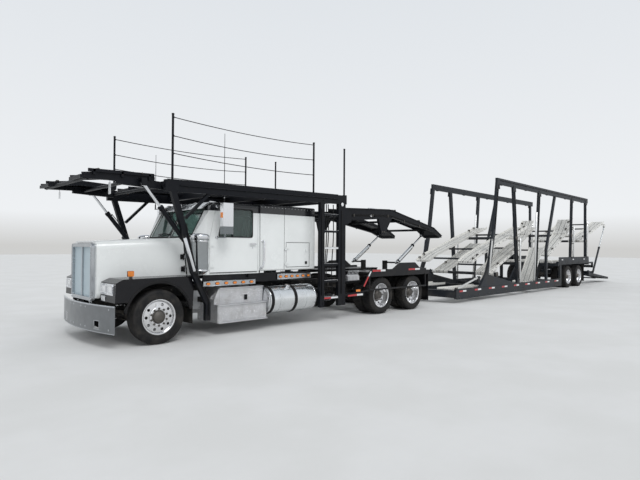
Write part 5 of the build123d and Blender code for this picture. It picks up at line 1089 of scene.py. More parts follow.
# Treads of the stepped boxes: front end, spans across and up, height of the nosing
TREADS = (
    (-1.268, (0.860, 1.036), (0.868, 0.877), 0.866),
    (-1.158, (1.018, 1.166), (0.558, 0.568), 0.556),
    (-1.158, (1.090, 1.185), (0.232, 0.244), 0.236),
)


def box_trim():
    """Tread plates, lids, latch and rivets of the stepped boxes."""
    p = Piece()
    for front, y, z, _ in TREADS:
        p.block((BOX_REAR, front), y, z)
    for front, (_, edge), _, z in TREADS:
        p.pipe([(BOX_REAR, edge, z), (front, edge, z)], 0.012, 8, 1)
    frame_around(p, rect(-2.262, -1.200, 0.276, 0.526), 0.012, 0.010, 0.0, 1.148, 1.156, finish=1)
    frame_around(p, rect(-2.262, -1.290, 0.600, 0.836), 0.012, 0.010, 0.0, 1.018, 1.026, finish=1)
    p.block(about(-1.730, 0.005), (1.149, 1.154), (0.276, 0.526), 1)
    x, y, z = -1.880, 1.022, 0.668
    wide, high = about(x, 0.040), about(z, 0.052)
    frame_around(p, rect(*wide, *high), 0.010, 0.006, 0.0, y - 0.004, y + 0.006, finish=1)
    p.block(wide, (y - 0.004, y + 0.001), high, 2)
    p.block(about(x, 0.026), (y, y + 0.012), (z - 0.014, z + 0.016), 2)
    rows = ((1.154, 0.262), (1.154, 0.540), (1.022, 0.848))
    rivets = [(x, y, z) for x in (-2.22, -1.94, -1.66, -1.38) for y, z in rows]
    p.bolts(rivets, Y_AXIS, 0.006, 0.004, 1)
    p.make("box_trim", "tractor", [tread, brushed, black], both=True, bevel=0.0015)


def tank_trim():
    """Straps, rolled ends, filler neck and hose of the fuel tanks."""
    p = Piece()
    y, z, steps = 0.990, 0.570, 56
    centre = (0, y, z)
    for x in (-2.385, -3.000):
        p.hoop(about(x, 0.036), 0.282, 0.288, centre, X_AXIS, steps, 1)
        p.hoop(about(x, 0.022), 0.286, 0.2925, centre, X_AXIS, steps, 1)
        p.rod((x, 0.705, 0.560), (x, 0.705, 0.430), 0.012, 10)
    for x, way in ((-2.330, 1), (-3.610, -1)):
        p.hoop((x - way * 0.052, x - way * 0.042), 0.2795, 0.283, centre, X_AXIS, steps)
        dish = [(-0.002, 0.236), (0.004, 0.232), (0.018, 0.150), (0.022, 0)]
        p.turned([(x + way * along, r) for along, r in dish], centre, X_AXIS, steps)
    lean = Vector((0, sin(radians(28)), cos(radians(28))))
    neck = [(0, 0.060), (0.006, 0.058), (0.010, 0.044), (0.032, 0.044)]
    cap = [(0.034, 0.052), (0.058, 0.052), (0.062, 0.046), (0.062, 0)]
    p.turned(neck + cap, Vector((-2.860, y, z)) + lean * 0.276, lean, 24)
    hose = [(-3.20, y, 0.846), (-3.20, 0.900, 0.905), (-3.20, 0.600, 0.860), (-3.20, 0.420, 0.800)]
    p.pipe(hose, 0.010, 8, 1, 0.05)
    p.make("tank_trim", "tractor", [chrome, trim_rubber], both=True)


def frame_gear():
    """Bolts and lines on the tractor's rails, the air tanks, and the panels behind the steered wheels."""
    p = Piece()
    rail_bolts = [(0.60 - 0.30 * i, RAIL_WEB, z) for i in range(28) for z in (0.700, 0.840)]
    p.bolts(rail_bolts, Y_AXIS, 0.011, 0.009)
    for z, radius in ((0.775, 0.011), (0.745, 0.008)):
        p.pipe([(x, RAIL_WEB + 0.012, z) for x in (-3.700, -5.20, -6.60, -7.80)], radius, 8, 1)
    for x in (-3.95, -4.75, -5.30, -6.35, -6.95, -7.60):
        p.block(about(x, 0.012), (RAIL_WEB - 0.002, RAIL_WEB + 0.030), (0.728, 0.792))
    # Air tank inside the ladder, on two straps
    centre = (0, 0.640, 0.600)
    tank = [(-4.250, 0), (-4.250, 0.070), (-4.225, 0.105), (-3.825, 0.105), (-3.800, 0.070), (-3.800, 0)]
    p.turned(tank, centre, X_AXIS, 28, 2)
    for x in (-4.12, -3.92):
        p.block(about(x, 0.018), (0.425, 0.560), (0.650, 0.690))
        p.hoop(about(x, 0.015), 0.106, 0.110, centre, X_AXIS, 28)
    # Panel on the front outrigger
    p.slab(round_outline(rect(-0.885, -0.660, 0.520, 0.850), 0.012), 0.962, 1.000, "y", 3)
    p.bolts([(x, 1.000, z) for x in (-0.862, -0.683) for z in (0.545, 0.825)], Y_AXIS, 0.008, 0.006)
    p.make("frame_gear", "tractor", [hub_metal, trim_rubber, black, plate_grey], both=True)


def valve_bank():
    """Hydraulic valve bank with its levers behind the ladder, and the taped guard bar below it."""
    p = Piece()
    rear, shelf = -5.000, (-5.030, -4.460)
    knob = [(0, 0.006), (0.006, 0.012), (0.022, 0.015), (0.034, 0.010), (0.038, 0)]
    p.block(shelf, (1.225, 1.245), (0.850, 0.876), 3)
    p.block(shelf, (1.120, 1.285), (0.868, 0.880), 3)
    p.block((rear, -4.600), (1.150, 1.235), (0.880, 1.010))
    for i in range(8):
        x = rear + 0.028 + 0.049 * i
        p.block(about(x, 0.019), (1.140, 1.262), (0.890, 0.985))
        p.rod((x, 1.215, 1.000), (x, 1.262, 1.125), 0.006, 8, 1)
        p.turned(knob, (x, 1.262, 1.120), (0, 0.35, 0.93), 12, 2)
        p.rod((x, 1.170, 0.880), (x, 1.170, 0.800), 0.009, 8, 2)
    p.pipe([(-4.460, 1.262, 0.560), (-4.90, 1.275, 0.590), (-5.330, 1.292, 0.628)], 0.020, 10, 3)
    p.block((-4.990, -4.830), (1.262, 1.296), (0.612, 0.672), 3)
    p.block((-4.982, -4.838), (1.294, 1.310), (0.618, 0.666), 4)
    p.block((-4.900, -4.590), (1.268, 1.276), (0.516, 0.562), 5)
    p.block((-5.110, -4.900), (1.268, 1.276), (0.516, 0.562), 6)
    p.block((-5.17, -4.55), (1.256, 1.269), (0.512, 0.600), 3)
    finishes = [brushed, chrome, black, rack_paint, amber, red_tape, white_tape]
    p.make("valve_bank", "tractor", finishes, both=True, bevel=0.0015)


def drive_trim():
    """Tape, rolled edges, flap weight and tail lamps of the drive fenders."""
    p = Piece()
    skin, tape_y = VALANCE_FACE, (VALANCE_FACE - 0.001, VALANCE_FACE + 0.002)
    for x0, x1, x2, top in ((-5.460, -5.770, -5.960, 1.116), (-6.940, -7.230, -7.450, 1.110)):
        p.block((x1, x0), tape_y, (1.066, top))
        p.block((x2, x1), tape_y, (1.066, top), 3)
    edge = [(-7.740, 1.105), (-7.475, 1.104), (-7.230, 1.262), (-6.530, 1.262)]
    edge += [(-6.235, 1.104), (-5.380, 1.106), (-5.102, 0.732)]
    for path in (edge, [(-7.740, 0.946), (-5.330, 0.946)]):
        p.pipe([(x, skin - 0.006, z) for x, z in path], 0.009, 8, 1)
    p.strip((-5.400, 1.078), (-5.310, 0.957), 0.040, tape_y, 3)
    p.strip((-5.310, 0.957), (-5.136, 0.724), 0.040, tape_y)
    p.block((-7.925, -7.900), (0.645, 1.245), (0.205, 0.245), 1)
    p.bolts([(-7.903, y, 0.925) for y in (0.70, 0.86, 1.02, 1.18)], X_AXIS, 0.010, 0.008, 2)
    p.bolts([(x, skin, 1.06) for x in (-5.99, -6.45, -7.10)], Y_AXIS, 0.008, 0.005, 1)
    for y in (1.00, 1.14):
        lamp_disc(p, (-7.930, y, 1.000), (-1, 0, 0), 0.052, 2, 4, 0.014)
    p.make("drive_trim", "tractor", [red_tape, black, hub_metal, white_tape, red], both=True)


# Rack

# Front and rear of the rack's rail, its height at the front and its rise to the rear
RACK_FRONT, RACK_REAR = -0.030, -4.500
RACK_Z, RACK_RISE = 2.790, 0.060


def rack_height(x):
    """Height of the rack's rail."""
    return RACK_Z + (x - RACK_FRONT) / (RACK_REAR - RACK_FRONT) * RACK_RISE


def stations(path, pitch):
    """Places at a pitch along each run of a side-view path, as x, z and the run's direction."""
    for a, b in zip(path, path[1:]):
        run = hypot(b[0] - a[0], b[1] - a[1])
        ux, uz = (b[0] - a[0]) / run, (b[1] - a[1]) / run
        for i in range(int(run / pitch)):
            t = (i + 0.5) * pitch
            yield a[0] + ux * t, a[1] + uz * t, ux, uz


def chain_slot_shade(p, path):
    """Black strips along the outer lip of a track: painted shade standing in for the chain slots."""
    half = 0.035
    for x, z, ux, uz in stations(path, 0.30):
        start, end = (x - ux * half, z - uz * half), (x + ux * half, z + uz * half)
        # Painted shade of one chain slot: a thin black strip on the lip
        p.strip(start, end, 0.020, about(TRACK_OUT + 0.006, 0.002), 1)


def track_edges(p, path, lip):
    """Folded lips along both edges of a track, and the crease along its middle."""
    lift = lip / 2 - 0.008
    for y in ((TRACK_IN - 0.004, TRACK_IN + 0.006), (TRACK_OUT - 0.006, TRACK_OUT + 0.004)):
        for (xa, za), (xb, zb) in zip(path, path[1:]):
            run = hypot(xb - xa, zb - za)
            nx, nz = -(zb - za) / run, (xb - xa) / run
            if nz < 0:
                nx, nz = -nx, -nz
            dx, dz = nx * lift, nz * lift
            p.strip((xa + dx, za + dz), (xb + dx, zb + dz), lip, y)
    for (xa, za), (xb, zb) in zip(path, path[1:]):
        p.pipe([(xa, TRACK_MID, za), (xb, TRACK_MID, zb)], 0.004, 6)


def cross_ribs(p, path, pitch=0.52):
    """Pressed ribs across a track."""
    for x, z, _, _ in stations(path, pitch):
        p.pipe([(x, TRACK_IN + 0.03, z + 0.001), (x, TRACK_OUT - 0.03, z + 0.001)], 0.007, 6)


# Guard wires: height at the front, rise to the rear post, sag
WIRES = ((3.870, 0.010, 0.050), (3.550, 0.005, 0.060), (3.250, -0.023, 0.045))
WIRE_FRONT, WIRE_RUN = -0.188, 3.274
LADDER, LADDER_MID = (-4.235, -3.790), -4.010


def rack_trim():
    """Runways, guard wires, ladder treads, tape, lamps, tie-down bars, struts and lines of the rack."""
    p = Piece()
    runway = [(x, rack_height(x) + 0.010) for x in (-0.170, -4.440)]
    track_edges(p, runway, 0.040)
    cross_ribs(p, runway)
    shares = [i / 16 for i in range(17)]
    for z, rise, sag in WIRES:
        wire = [(WIRE_FRONT - WIRE_RUN * t, BAR_MID, z + rise * t - sag * 4 * t * (1 - t)) for t in shares]
        p.pipe(wire, 0.008, 6, 2)
        for x, lift in ((WIRE_FRONT, 0.0), (WIRE_FRONT - WIRE_RUN, rise)):
            p.turned([(-0.010, 0.012), (0.0, 0.017), (0.010, 0.012)], (x, BAR_MID, z + lift), Y_AXIS, 12, 1)
    cap = [(-0.020, 0.0205), (-0.018, 0.024), (0.004, 0.023), (0.008, 0.014), (0.008, 0)]
    for x in (-0.170, -3.480, -4.450):
        p.block(about(x, 0.046), (1.216, 1.304), (rack_height(x) - 0.004, rack_height(x) + 0.010))
        p.turned(cap, (x, BAR_MID, 3.930), Z_AXIS, 16, 2)
    # Ladder treads, tape and lamps
    rear, front = LADDER
    tape_y = (1.289, 1.292)
    for i in range(6):
        z = 0.550 + 0.370 * i
        p.block(LADDER, (1.222, 1.288), (z, z + 0.006), 3)
    p.block((LADDER_MID, front), tape_y, (0.512, 0.548), 4)
    p.block((rear, LADDER_MID), tape_y, (0.512, 0.548), 5)
    p.block(LADDER, tape_y, (1.622, 1.658), 5)
    lamp_disc(p, (-4.350, BAR_OUT, 2.640), Y_AXIS, 0.052, 2, 6)
    # Tie-down bar on pegs along the rail
    p.pipe([(-0.30, 1.312, 2.705), (-4.20, 1.312, 2.757)], 0.012, 8)
    for i in range(10):
        x = -0.45 - 0.40 * i
        p.across(x, rack_height(x) - 0.095, (1.296, 1.324), 0.016, 8)
    # Strut and line on the bent front leg
    p.rod((-0.395, 1.302, 1.810), (-0.585, 1.302, 1.220), 0.030, 20, 7)
    for x, z in ((-0.390, 1.830), (-0.590, 1.200)):
        p.across(x, z, (1.270, 1.334), 0.026, 16, 2)
        p.block((x - 0.060, x + 0.010), (1.262, 1.290), about(z, 0.030), 2)
    leg = [(-0.415, 2.050), (-0.470, 1.790), (-0.600, 1.240), (-0.880, 0.680), (-0.880, 0.420)]
    p.pipe([(x, 1.312, z) for x, z in leg], 0.009, 8, 8, 0.05)
    for x in (-3.725, -4.350):
        p.pipe([(x + 0.02, 1.308, 2.50), (x + 0.02, 1.308, 0.60)], 0.010, 8, 8)
        p.bolts([(x - 0.03, BAR_OUT, z) for z in (0.40, 0.44, 2.70)], Y_AXIS, 0.012, 0.010, 2)
    p.bolts([(-0.87, BAR_OUT, z) for z in (0.40, 0.48, 0.56)], Y_AXIS, 0.014, 0.011, 2)
    # Lines clipped down the inside of the ladder
    for x, drift in ((-3.900, 0.040), (-3.960, 0.064), (-4.120, 0.048)):
        upper = [(x, 1.236, 2.620), (x - 0.02, 1.232, 1.900)]
        lower = [(x + drift, 1.236, 1.200), (x + 0.01, 1.234, 0.640)]
        p.pipe(upper + lower, 0.011, 8, 8, 0.2)
    finishes = [rack_paint, hub_metal, black, tread, red_tape, white_tape, clear, chrome, trim_rubber]
    p.make("rack_trim", "tractor", finishes, both=True)


def head_ramp_trim():
    """Lips, arms, stops and ratchets of the head ramp, and the markers that hang from it."""
    p = Piece()
    path = [(0.060, 2.800), (0.700, 2.830), (1.240, 2.764)]
    arm_y = (1.084, 1.112)
    track_edges(p, path, 0.040)
    cross_ribs(p, path, 0.30)
    p.strip((0.080, 2.858), (1.150, 2.838), 0.050, arm_y)
    for x in (0.16, 0.62, 1.06):
        p.block(about(x, 0.018), arm_y, (2.770, 2.860))
    p.across(0.300, 2.868, (1.140, 1.084), 0.014, 10, 1)
    for x in (0.42, 0.98):
        p.across(x, 2.865, (0.98, 1.06), 0.024, 14, 1)
        p.block(about(x, 0.028), (1.000, 1.012), about(2.850, 0.035), 1)
    p.across(1.215, 2.742, (0.600, 1.050), 0.020)
    p.make("head_ramp_trim", "head_ramp", [rack_paint, hub_metal], both=True)
    tags = Piece()
    for x, y, low, high in ((0.800, 1.045, 2.490, 2.680), (0.930, -1.045, 2.540, 2.670)):
        tags.block(about(x, 0.002), about(y, 0.045), (low, high))
        tags.rod((x, y, high - 0.010), (x, y, 2.790), 0.004, 6)
    tags.make("head_ramp_markers", "head_ramp", [white_tape])


def truck_deck_trim():
    """Lips, flanges, lines, pin plate, tie ring and ratchets of the deck over the drive axles."""
    p = Piece()
    path = [(-4.660, 2.560), (-6.370, 2.620), (-8.320, 2.220), (-8.740, 2.000)]
    flange = [(-4.54, 2.566), (-6.37, 2.636), (-8.32, 2.236), (-8.74, 2.016)]
    track_edges(p, path, 0.046)
    cross_ribs(p, path)
    for a, b in zip(flange, flange[1:]):
        p.strip(a, b, 0.014, (1.070, 1.168))
    p.strip((-5.850, 2.384), (-4.545, 2.286), 0.014, (1.076, 1.160))
    upper = [(-4.60, 2.430), (-5.70, 2.475), (-6.33, 2.490), (-8.10, 2.190)]
    lower = [(-4.60, 2.405), (-5.70, 2.450), (-6.35, 2.462), (-8.10, 2.165)]
    for line in (upper, lower):
        p.pipe([(x, 1.158, z) for x, z in line], 0.009, 8, 3)
    for x, z in ((-4.90, 2.43), (-5.60, 2.458), (-6.20, 2.474), (-6.90, 2.365), (-7.60, 2.260)):
        p.block(about(x, 0.012), (1.148, 1.172), (z - 0.036, z + 0.030), 1)
    web = 1.150
    p.bolts([(-6.08, web, 2.06), (-6.00, web, 2.06), (-4.60, web, 2.35)], Y_AXIS, 0.018, 0.012, 1)
    p.turned([(0, 0.052), (0.008, 0.050), (0.014, 0.036), (0.014, 0)], (-4.600, web, 2.350), Y_AXIS, 20, 1)
    # Tie ring lying on the deck
    loop = [(x, y, 2.632) for x, y in oval((-5.650, 1.100), 0.150, 0.030, 16)]
    p.pipe(loop + loop[:1], 0.012, 8, 2)
    for x, z in ((-6.60, 2.585), (-7.70, 2.360)):
        p.across(x, z + 0.05, (1.00, 1.10), 0.025, 14, 1)
        p.block(about(x, 0.028), (1.010, 1.022), (z - 0.010, z + 0.070), 1)
    finishes = [rack_paint, hub_metal, chrome, trim_rubber]
    p.make("truck_deck_trim", "truck_deck", finishes, both=True)


# Trailer, measured from its coupling pin

PIN_X = -8.649
DECK_PATHS = {
    "front_deck": (
        [(-2.036, 1.230), (-2.551, 1.450), (-4.851, 2.130), (-5.411, 2.270)],
        [(-5.391, 2.272), (-6.151, 2.480)],
    ),
    "rear_deck": (
        [(-8.251, 1.400), (-10.051, 2.290), (-10.851, 2.650)],
        [(-10.051, 2.330), (-10.651, 2.960)],
    ),
    "lower_deck": ([(-3.201, 0.840), (-5.851, 1.840)],),
    "tail_deck": ([(-11.831, 2.072), (-13.841, 2.590), (-15.251, 3.040)],),
    "tail_ramp": ([(-12.831, 0.620), (-13.751, 0.420), (-15.895, 0.181)],),
}


def deck_trim():
    """Lips, ribs, painted shade of the chain slots, and ratchets of each trailer deck and the tail ramp."""
    for body, runs in DECK_PATHS.items():
        p = Piece()
        for run in runs:
            path = [(x + PIN_X, z) for x, z in run]
            track_edges(p, path, 0.050)
            cross_ribs(p, path)
            chain_slot_shade(p, path)
            for share in (0.25, 0.75):
                x, z = between(path[0], path[1], share)
                p.across(x, z + 0.052, (0.99, 1.076), 0.024, 14, 2)
                p.block(about(x, 0.026), (1.000, 1.012), (z - 0.004, z + 0.070), 2)
        paint, slot = (slate, "frame_paint") if body == "tail_ramp" else (edge_metal, "track_metal")
        p.make(f"{body}_trim", body, [paint, black, hub_metal], both=True)


# Posts of the side frames: x and z of the foot, x and z of the head
POSTS = (
    (-2.551, 0.730, -2.791, 1.210), (-2.791, 1.210, -3.071, 2.200), (-3.071, 2.200, -3.351, 3.900),
    (-4.901, 0.350, -4.551, 3.860), (-6.391, 0.350, -6.771, 3.860), (-7.451, 1.610, -8.351, 3.850),
    (-10.027, 1.060, -10.221, 3.850), (-11.911, 1.060, -11.921, 3.850),
)
# Slide rods: the post beside, the foot, the head
SLIDES = (
    (3, (-13.740, 0.440), (-13.770, 2.030)), (4, (-14.990, 0.440), (-15.210, 3.050)),
    (6, (-19.070, 1.100), (-19.140, 2.680)), (7, (-20.760, 1.100), (-20.890, 2.920)),
)
# Lines up the posts: the post, low end and high end
POST_LINES = ((2, 2.30, 3.80), (3, 0.60, 3.70), (4, 0.60, 3.70), (6, 1.25, 3.70), (7, 1.25, 3.70))
POST_CLAMPS = 5


def post_x(index, z):
    """Place of a post's middle along the trailer at a height."""
    fx, fz, hx, hz = POSTS[index]
    return PIN_X + fx + (hx - fx) * (z - fz) / (hz - fz)


def top_rail(x):
    """Height of the top rail."""
    return 4.035 - 0.075 * (PIN_X - 3.281 - x) / 8.870


def side_frame_trim():
    """Slide rods, lines with clamps, head plates and clips of the side frames."""
    p = Piece()
    face, bar = BAR_OUT, (BAR_MID - 0.020, BAR_MID + 0.020)
    for index, foot, head in SLIDES:
        p.rod((foot[0], BAR_MID, foot[1]), (head[0], BAR_MID, head[1]), 0.036, 16)
        for share in (0.06, 0.50, 0.94):
            x, z = between(foot, head, share)
            p.block(sorted((x, post_x(index, z))), bar, about(z, 0.018), 1)
    p.strip((-11.560, 1.960), (-11.330, 0.800), 0.070, (face, face + 0.018))
    p.bolts([(-11.556, face + 0.018, 1.930), (-11.336, face + 0.018, 0.830)], Y_AXIS, 0.016, 0.010, 1)
    for index, z0, z1 in POST_LINES:
        for off in (-0.012, 0.014):
            p.pipe([(post_x(index, z) + off, face + 0.008, z) for z in (z0, z1)], 0.008, 8, 2)
        for k in range(POST_CLAMPS):
            z = z0 + (z1 - z0) * (k + 0.5) / POST_CLAMPS
            p.block(about(post_x(index, z), 0.034), (face - 0.002, face + 0.022), about(z, 0.010), 1)
    # Bolted plates at the heads
    for index in (2, 3, 4, 6, 7):
        x = post_x(index, 3.78)
        plate = [(x - 0.12, 3.66), (x + 0.12, 3.66), (x + 0.09, 3.88), (x - 0.09, 3.88)]
        p.slab(plate, face - 0.002, face + 0.010, "y", 3)
        heads = [(x + dx, face + 0.010, z) for dx in (-0.06, 0.06) for z in (3.70, 3.84)]
        p.bolts(heads, Y_AXIS, 0.013, 0.010, 1)
    # Small blocks under the top rails, and a line with clips along them
    for i in range(5):
        x = PIN_X - 3.62 - 1.95 * i
        p.block(about(x, 0.060), bar, (top_rail(x) - 0.232, top_rail(x) - 0.206), 3)
    p.pipe([(PIN_X - 3.50, face + 0.006, 3.960), (PIN_X - 12.05, face + 0.006, 3.885)], 0.009, 8, 2)
    for i in range(14):
        x = PIN_X - 3.70 - 0.62 * i
        p.block(about(x, 0.014), (face - 0.004, face + 0.020), about(top_rail(x) - 0.075, 0.018), 1)
    finishes = [slide_metal, hub_metal, trim_rubber, slate]
    p.make("side_frame_trim", "trailer", finishes, both=True)


# Where the decks turn in the side frames
PIVOTS = ((-4.736, 2.030), (-10.111, 2.235), (-11.916, 2.010), (-3.251, 0.790))


def pivot_trim():
    """Pin plates and nuts where the decks turn in the side frames."""
    p = Piece()
    plate = [(0, 0.088), (0.010, 0.086), (0.010, 0.046), (0.020, 0.044), (0.026, 0.030), (0.026, 0)]
    for along, z in PIVOTS:
        x = PIN_X + along
        p.turned(plate, (x, BAR_OUT, z), Y_AXIS, 24)
        round_pin = oval((x, z), 0.066, 0.066, 4, pi / 4)
        p.bolts([(bx, BAR_OUT + 0.009, bz) for bx, bz in round_pin], Y_AXIS, 0.009, 0.007)
    p.make("pivot_trim", "trailer", [hub_metal], both=True)


def beam_trim():
    """Tape, edges and bolts of the lower beams, the brace by the neck, and the bed's side plate."""
    p = Piece()
    face, front, rear = BAR_OUT, -9.320, -17.600
    tape_y = (face - 0.001, face + 0.002)
    for i in range(9):
        x = front - 0.18 - 0.92 * i
        p.block((x - 0.20, x), tape_y, (0.330, 0.380))
        p.block((x - 0.40, x - 0.20), tape_y, (0.330, 0.380), 3)
    for z in (0.422, 0.130):
        p.pipe([(front - 0.02, face - 0.008, z), (rear + 0.02, face - 0.008, z)], 0.010, 8, 1)
    p.bolts([(front - 0.16 - 0.62 * i, face, 0.200) for i in range(14)], Y_AXIS, 0.013, 0.010, 2)
    # Bright brace by the neck and its lugs
    p.strip((-9.400, 0.430), (-10.800, 0.750), 0.050, (1.246, 1.270), 4)
    p.block((-9.44, -9.33), (1.236, 1.280), (0.418, 0.470), 2)
    p.block((-10.80, -10.68), (1.236, 1.280), (0.560, 0.766), 1)
    # Side plate of the bed with its tape
    bed, bed_top = (-20.900, -17.300), 1.300
    p.block(bed, (face - 0.002, face + 0.010), (1.060, bed_top), 1)
    p.pipe([(x, face + 0.004, bed_top) for x in bed], 0.008, 8, 1)
    for x in (-17.60, -18.85, -20.20):
        p.block((x - 0.16, x), (face + 0.009, face + 0.012), (1.180, 1.220), 3)
    p.bolts([(-17.40 - 0.35 * i, face + 0.010, 1.085) for i in range(10)], Y_AXIS, 0.010, 0.007, 2)
    finishes = [red_tape, slate, hub_metal, white_tape, slide_metal]
    p.make("beam_trim", "trailer", finishes, both=True)


# Fixed tracks in side view: the well, the flat before the flap, the flap and the bed
FIXED_TRACKS = (
    [(-9.450, 0.400), (-11.700, 0.400)],
    [(-14.700, 0.400), (-15.330, 0.400)],
    [(-15.300, 0.410), (-16.250, 1.700)],
    [(-17.250, 1.120), (-20.950, 1.120)],
)


def trailer_track_trim():
    """Lips and ribs of the tracks fixed to the trailer."""
    p = Piece()
    for path in FIXED_TRACKS:
        track_edges(p, path, 0.044)
        cross_ribs(p, path)
    p.make("trailer_track_trim", "trailer", [edge_metal], both=True)


def tail_trim():
    """Rear lamps, underrun bar, mud flaps and their bolts at the trailer's tail."""
    p = Piece()
    bar = (-21.660, -21.620)
    p.block(bar, (0.560, 1.230), (0.780, 0.900))
    p.block((-21.640, -20.880), (0.552, 0.600), (0.800, 0.880))
    p.block((-21.640, -20.950), (1.222, 1.262), (0.985, 1.055))
    p.block(bar, (1.180, 1.262), (0.780, 1.055))
    for y in (0.72, 0.86, 1.00):
        lamp_disc(p, (-21.660, y, 0.840), (-1, 0, 0), 0.055, 1, 2, 0.016)
    p.block((-21.664, -21.658), (1.060, 1.220), (0.815, 0.865), 4)
    p.block((-20.46, -20.45), (0.700, 1.240), (0.200, 0.930), 3)
    p.block((-20.475, -20.435), (0.420, 1.262), (0.925, 0.985))
    p.bolts([(-20.450, y, 0.905) for y in (0.76, 0.90, 1.04, 1.18)], X_AXIS, 0.010, 0.008, 1)
    finishes = [slate, hub_metal, red, flap_rubber, red_white]
    p.make("tail_trim", "trailer", finishes, both=True)


# Cylinders: body, foot, eye, y, barrel length, paint
CYLINDERS = (
    ("head_cylinders", (-0.450, 1.770), (0.300, 2.700), 1.170, 0.7197, rack_paint),
    ("truck_deck_cylinders", (-7.050, 1.250), (-8.250, 2.020), 0.800, 0.9008, rack_paint),
    ("tail_cylinders", (-21.920, 0.550), (-23.600, 2.760), 1.170, 1.5011, slate),
)
BARREL_R = 0.0425


def cylinder_trim():
    """Gland nuts, foot collars, ports, lines and pin caps on the cylinders."""
    for body, foot, eye, y, length, paint in CYLINDERS:
        p = Piece()
        axis = Vector((eye[0] - foot[0], 0, eye[1] - foot[1])).normalized()
        start = Vector((foot[0], y, foot[1]))
        gland = [(-0.060, BARREL_R), (-0.056, 0.050), (-0.004, 0.050), (0.008, 0.044), (0.010, 0.0265)]
        p.turned([(length + along, r) for along, r in gland], start, axis, 28)
        p.turned([(0.050, BARREL_R), (0.054, 0.047), (0.092, 0.047), (0.096, BARREL_R)], start, axis, 28)
        side = axis.cross(Vector(Y_AXIS))
        ports = (0.13, length - 0.09)
        for along in ports:
            root = start + axis * along + side * 0.040
            p.rod(root, root + side * 0.030, 0.014, 10, 1)
        a, b = [start + axis * along + side * 0.066 for along in ports]
        p.pipe([a - side * 0.01, a + axis * 0.03, b - axis * 0.03, b - side * 0.01], 0.008, 8, 2, 0.02)
        for way in (1, -1):
            p.turned([(0.022, 0.032), (0.027, 0.030), (0.027, 0)], start, (0, way, 0), 18, 1)
        p.make(f"{body}_trim", body, [paint, hub_metal, trim_rubber], both=True)


def neck_trim():
    """Bolted collar round the coupling pin, and the air and power sockets on the neck."""
    p = Piece()
    p.turned([(0.546, 0.150), (0.554, 0.145), (0.554, 0.060)], (PIN_X, 0, 0), Z_AXIS, 40)
    p.bolts([(x, y, 0.552) for x, y in oval((PIN_X, 0), 0.115, 0.115, 8)], Z_AXIS, 0.012, 0.010)
    p.block((-9.20, -9.05), about(0, 0.11), (0.546, 0.600), 1)
    for y in (-0.06, 0.0, 0.06):
        p.turned([(0, 0.022), (0.014, 0.022), (0.020, 0.012), (0.050, 0.012)], (-9.05, y, 0.574), X_AXIS, 14)
    p.make("neck_trim", "trailer", [hub_metal, slate])


# Gauges in the dashboard: y, z, radius
GAUGES = (
    (0.36, 1.645, 0.042), (0.50, 1.652, 0.055), (0.64, 1.645, 0.042), (0.26, 1.640, 0.030),
    (0.74, 1.640, 0.030),
)


def cab_inside():
    """Gauges, dash panel and pedals seen through the glass."""
    p = Piece()
    for y, z, r in GAUGES:
        dial = [(0, r), (0.012, r), (0.012, r * 0.86), (0.003, r * 0.84), (0.003, 0)]
        p.turned(dial, (-1.040, y, z), (-1, 0, 0.12), 24)
    p.block((-1.060, -1.035), (-0.70, -0.20), (1.590, 1.640), 1)
    for y in (0.42, 0.58):
        pedal = [(-0.98, 1.30), (-1.02, 1.38), (-1.03, 1.375), (-0.99, 1.295)]
        p.slab(pedal, *about(y, 0.03), "y", 1)
    p.make("cab_inside", "tractor", [chrome, trim_plastic])


# Seat cushion and back: x and z of both ends, thickness and the way the pad faces
PADS = (
    ((-2.010, 1.500), (-1.500, 1.500), 0.150, Z_AXIS),
    ((-2.095, 1.610), (-2.150, 2.290), 0.130, (1, 0, 0.1)),
)
SEAT_Y = 0.520
PAD_HALF = 0.235


def pad(p, middle, low, high, thick, facing):
    """Padded shape swelling from a flat base, with side bolsters and seams."""
    n, m = 12, 10
    row = m + 1
    run = Vector((high[0] - low[0], 0, high[1] - low[1]))
    up = Vector(facing).normalized()
    verts, faces = [], []
    for layer in (0, 1):
        for i in range(n + 1):
            for j in range(row):
                u, v = i / n, j / m
                w = 2 * v - 1
                edge = (1 - (2 * u - 1) ** 6) * (1 - w ** 6)
                bolster = 0.022 * (w ** 2) - 0.012 * (abs(((v * 5) % 1) - 0.5) > 0.44)
                height = thick * (0.62 + 0.38 * edge) + bolster * edge if layer else 0.0
                y = middle + w * (PAD_HALF - 0.012 * (1 - edge))
                verts.append(Vector((low[0], y, low[1])) + run * u + up * height)
    top = (n + 1) * row
    for i in range(n):
        for j in range(m):
            a = i * row + j
            b = a + row
            faces += [(a, a + 1, b + 1, b), (top + a, top + b, top + b + 1, top + a + 1)]
    rim = [i * row for i in range(n + 1)] + [n * row + j for j in range(1, row)]
    rim += [i * row + m for i in range(n - 1, -1, -1)] + list(range(m - 1, 0, -1))
    faces += [(a, b, top + b, top + a) for a, b in zip(rim, rim[1:] + rim[:1])]
    p.add(verts, faces, 0, True)


def seat_pads():
    """Cushions and backs shaped over the seats, on their own pedestals."""
    p = Piece()
    for middle in (SEAT_Y, -SEAT_Y):
        for shape in PADS:
            pad(p, middle, *shape)
        p.block((-1.900, -1.600), about(middle, 0.140), (1.172, 1.500), 1)
        p.block((-2.010, -1.520), about(middle, 0.200), (1.470, 1.502), 1)
        stem = [(-2.030, 1.480), (-1.980, 1.480), (-2.080, 1.660), (-2.130, 1.660)]
        p.slab(stem, *about(middle, 0.16), "y", 1)
    made = p.make("seat_pads", "tractor", [cloth, trim_plastic], replaces=["seats"])


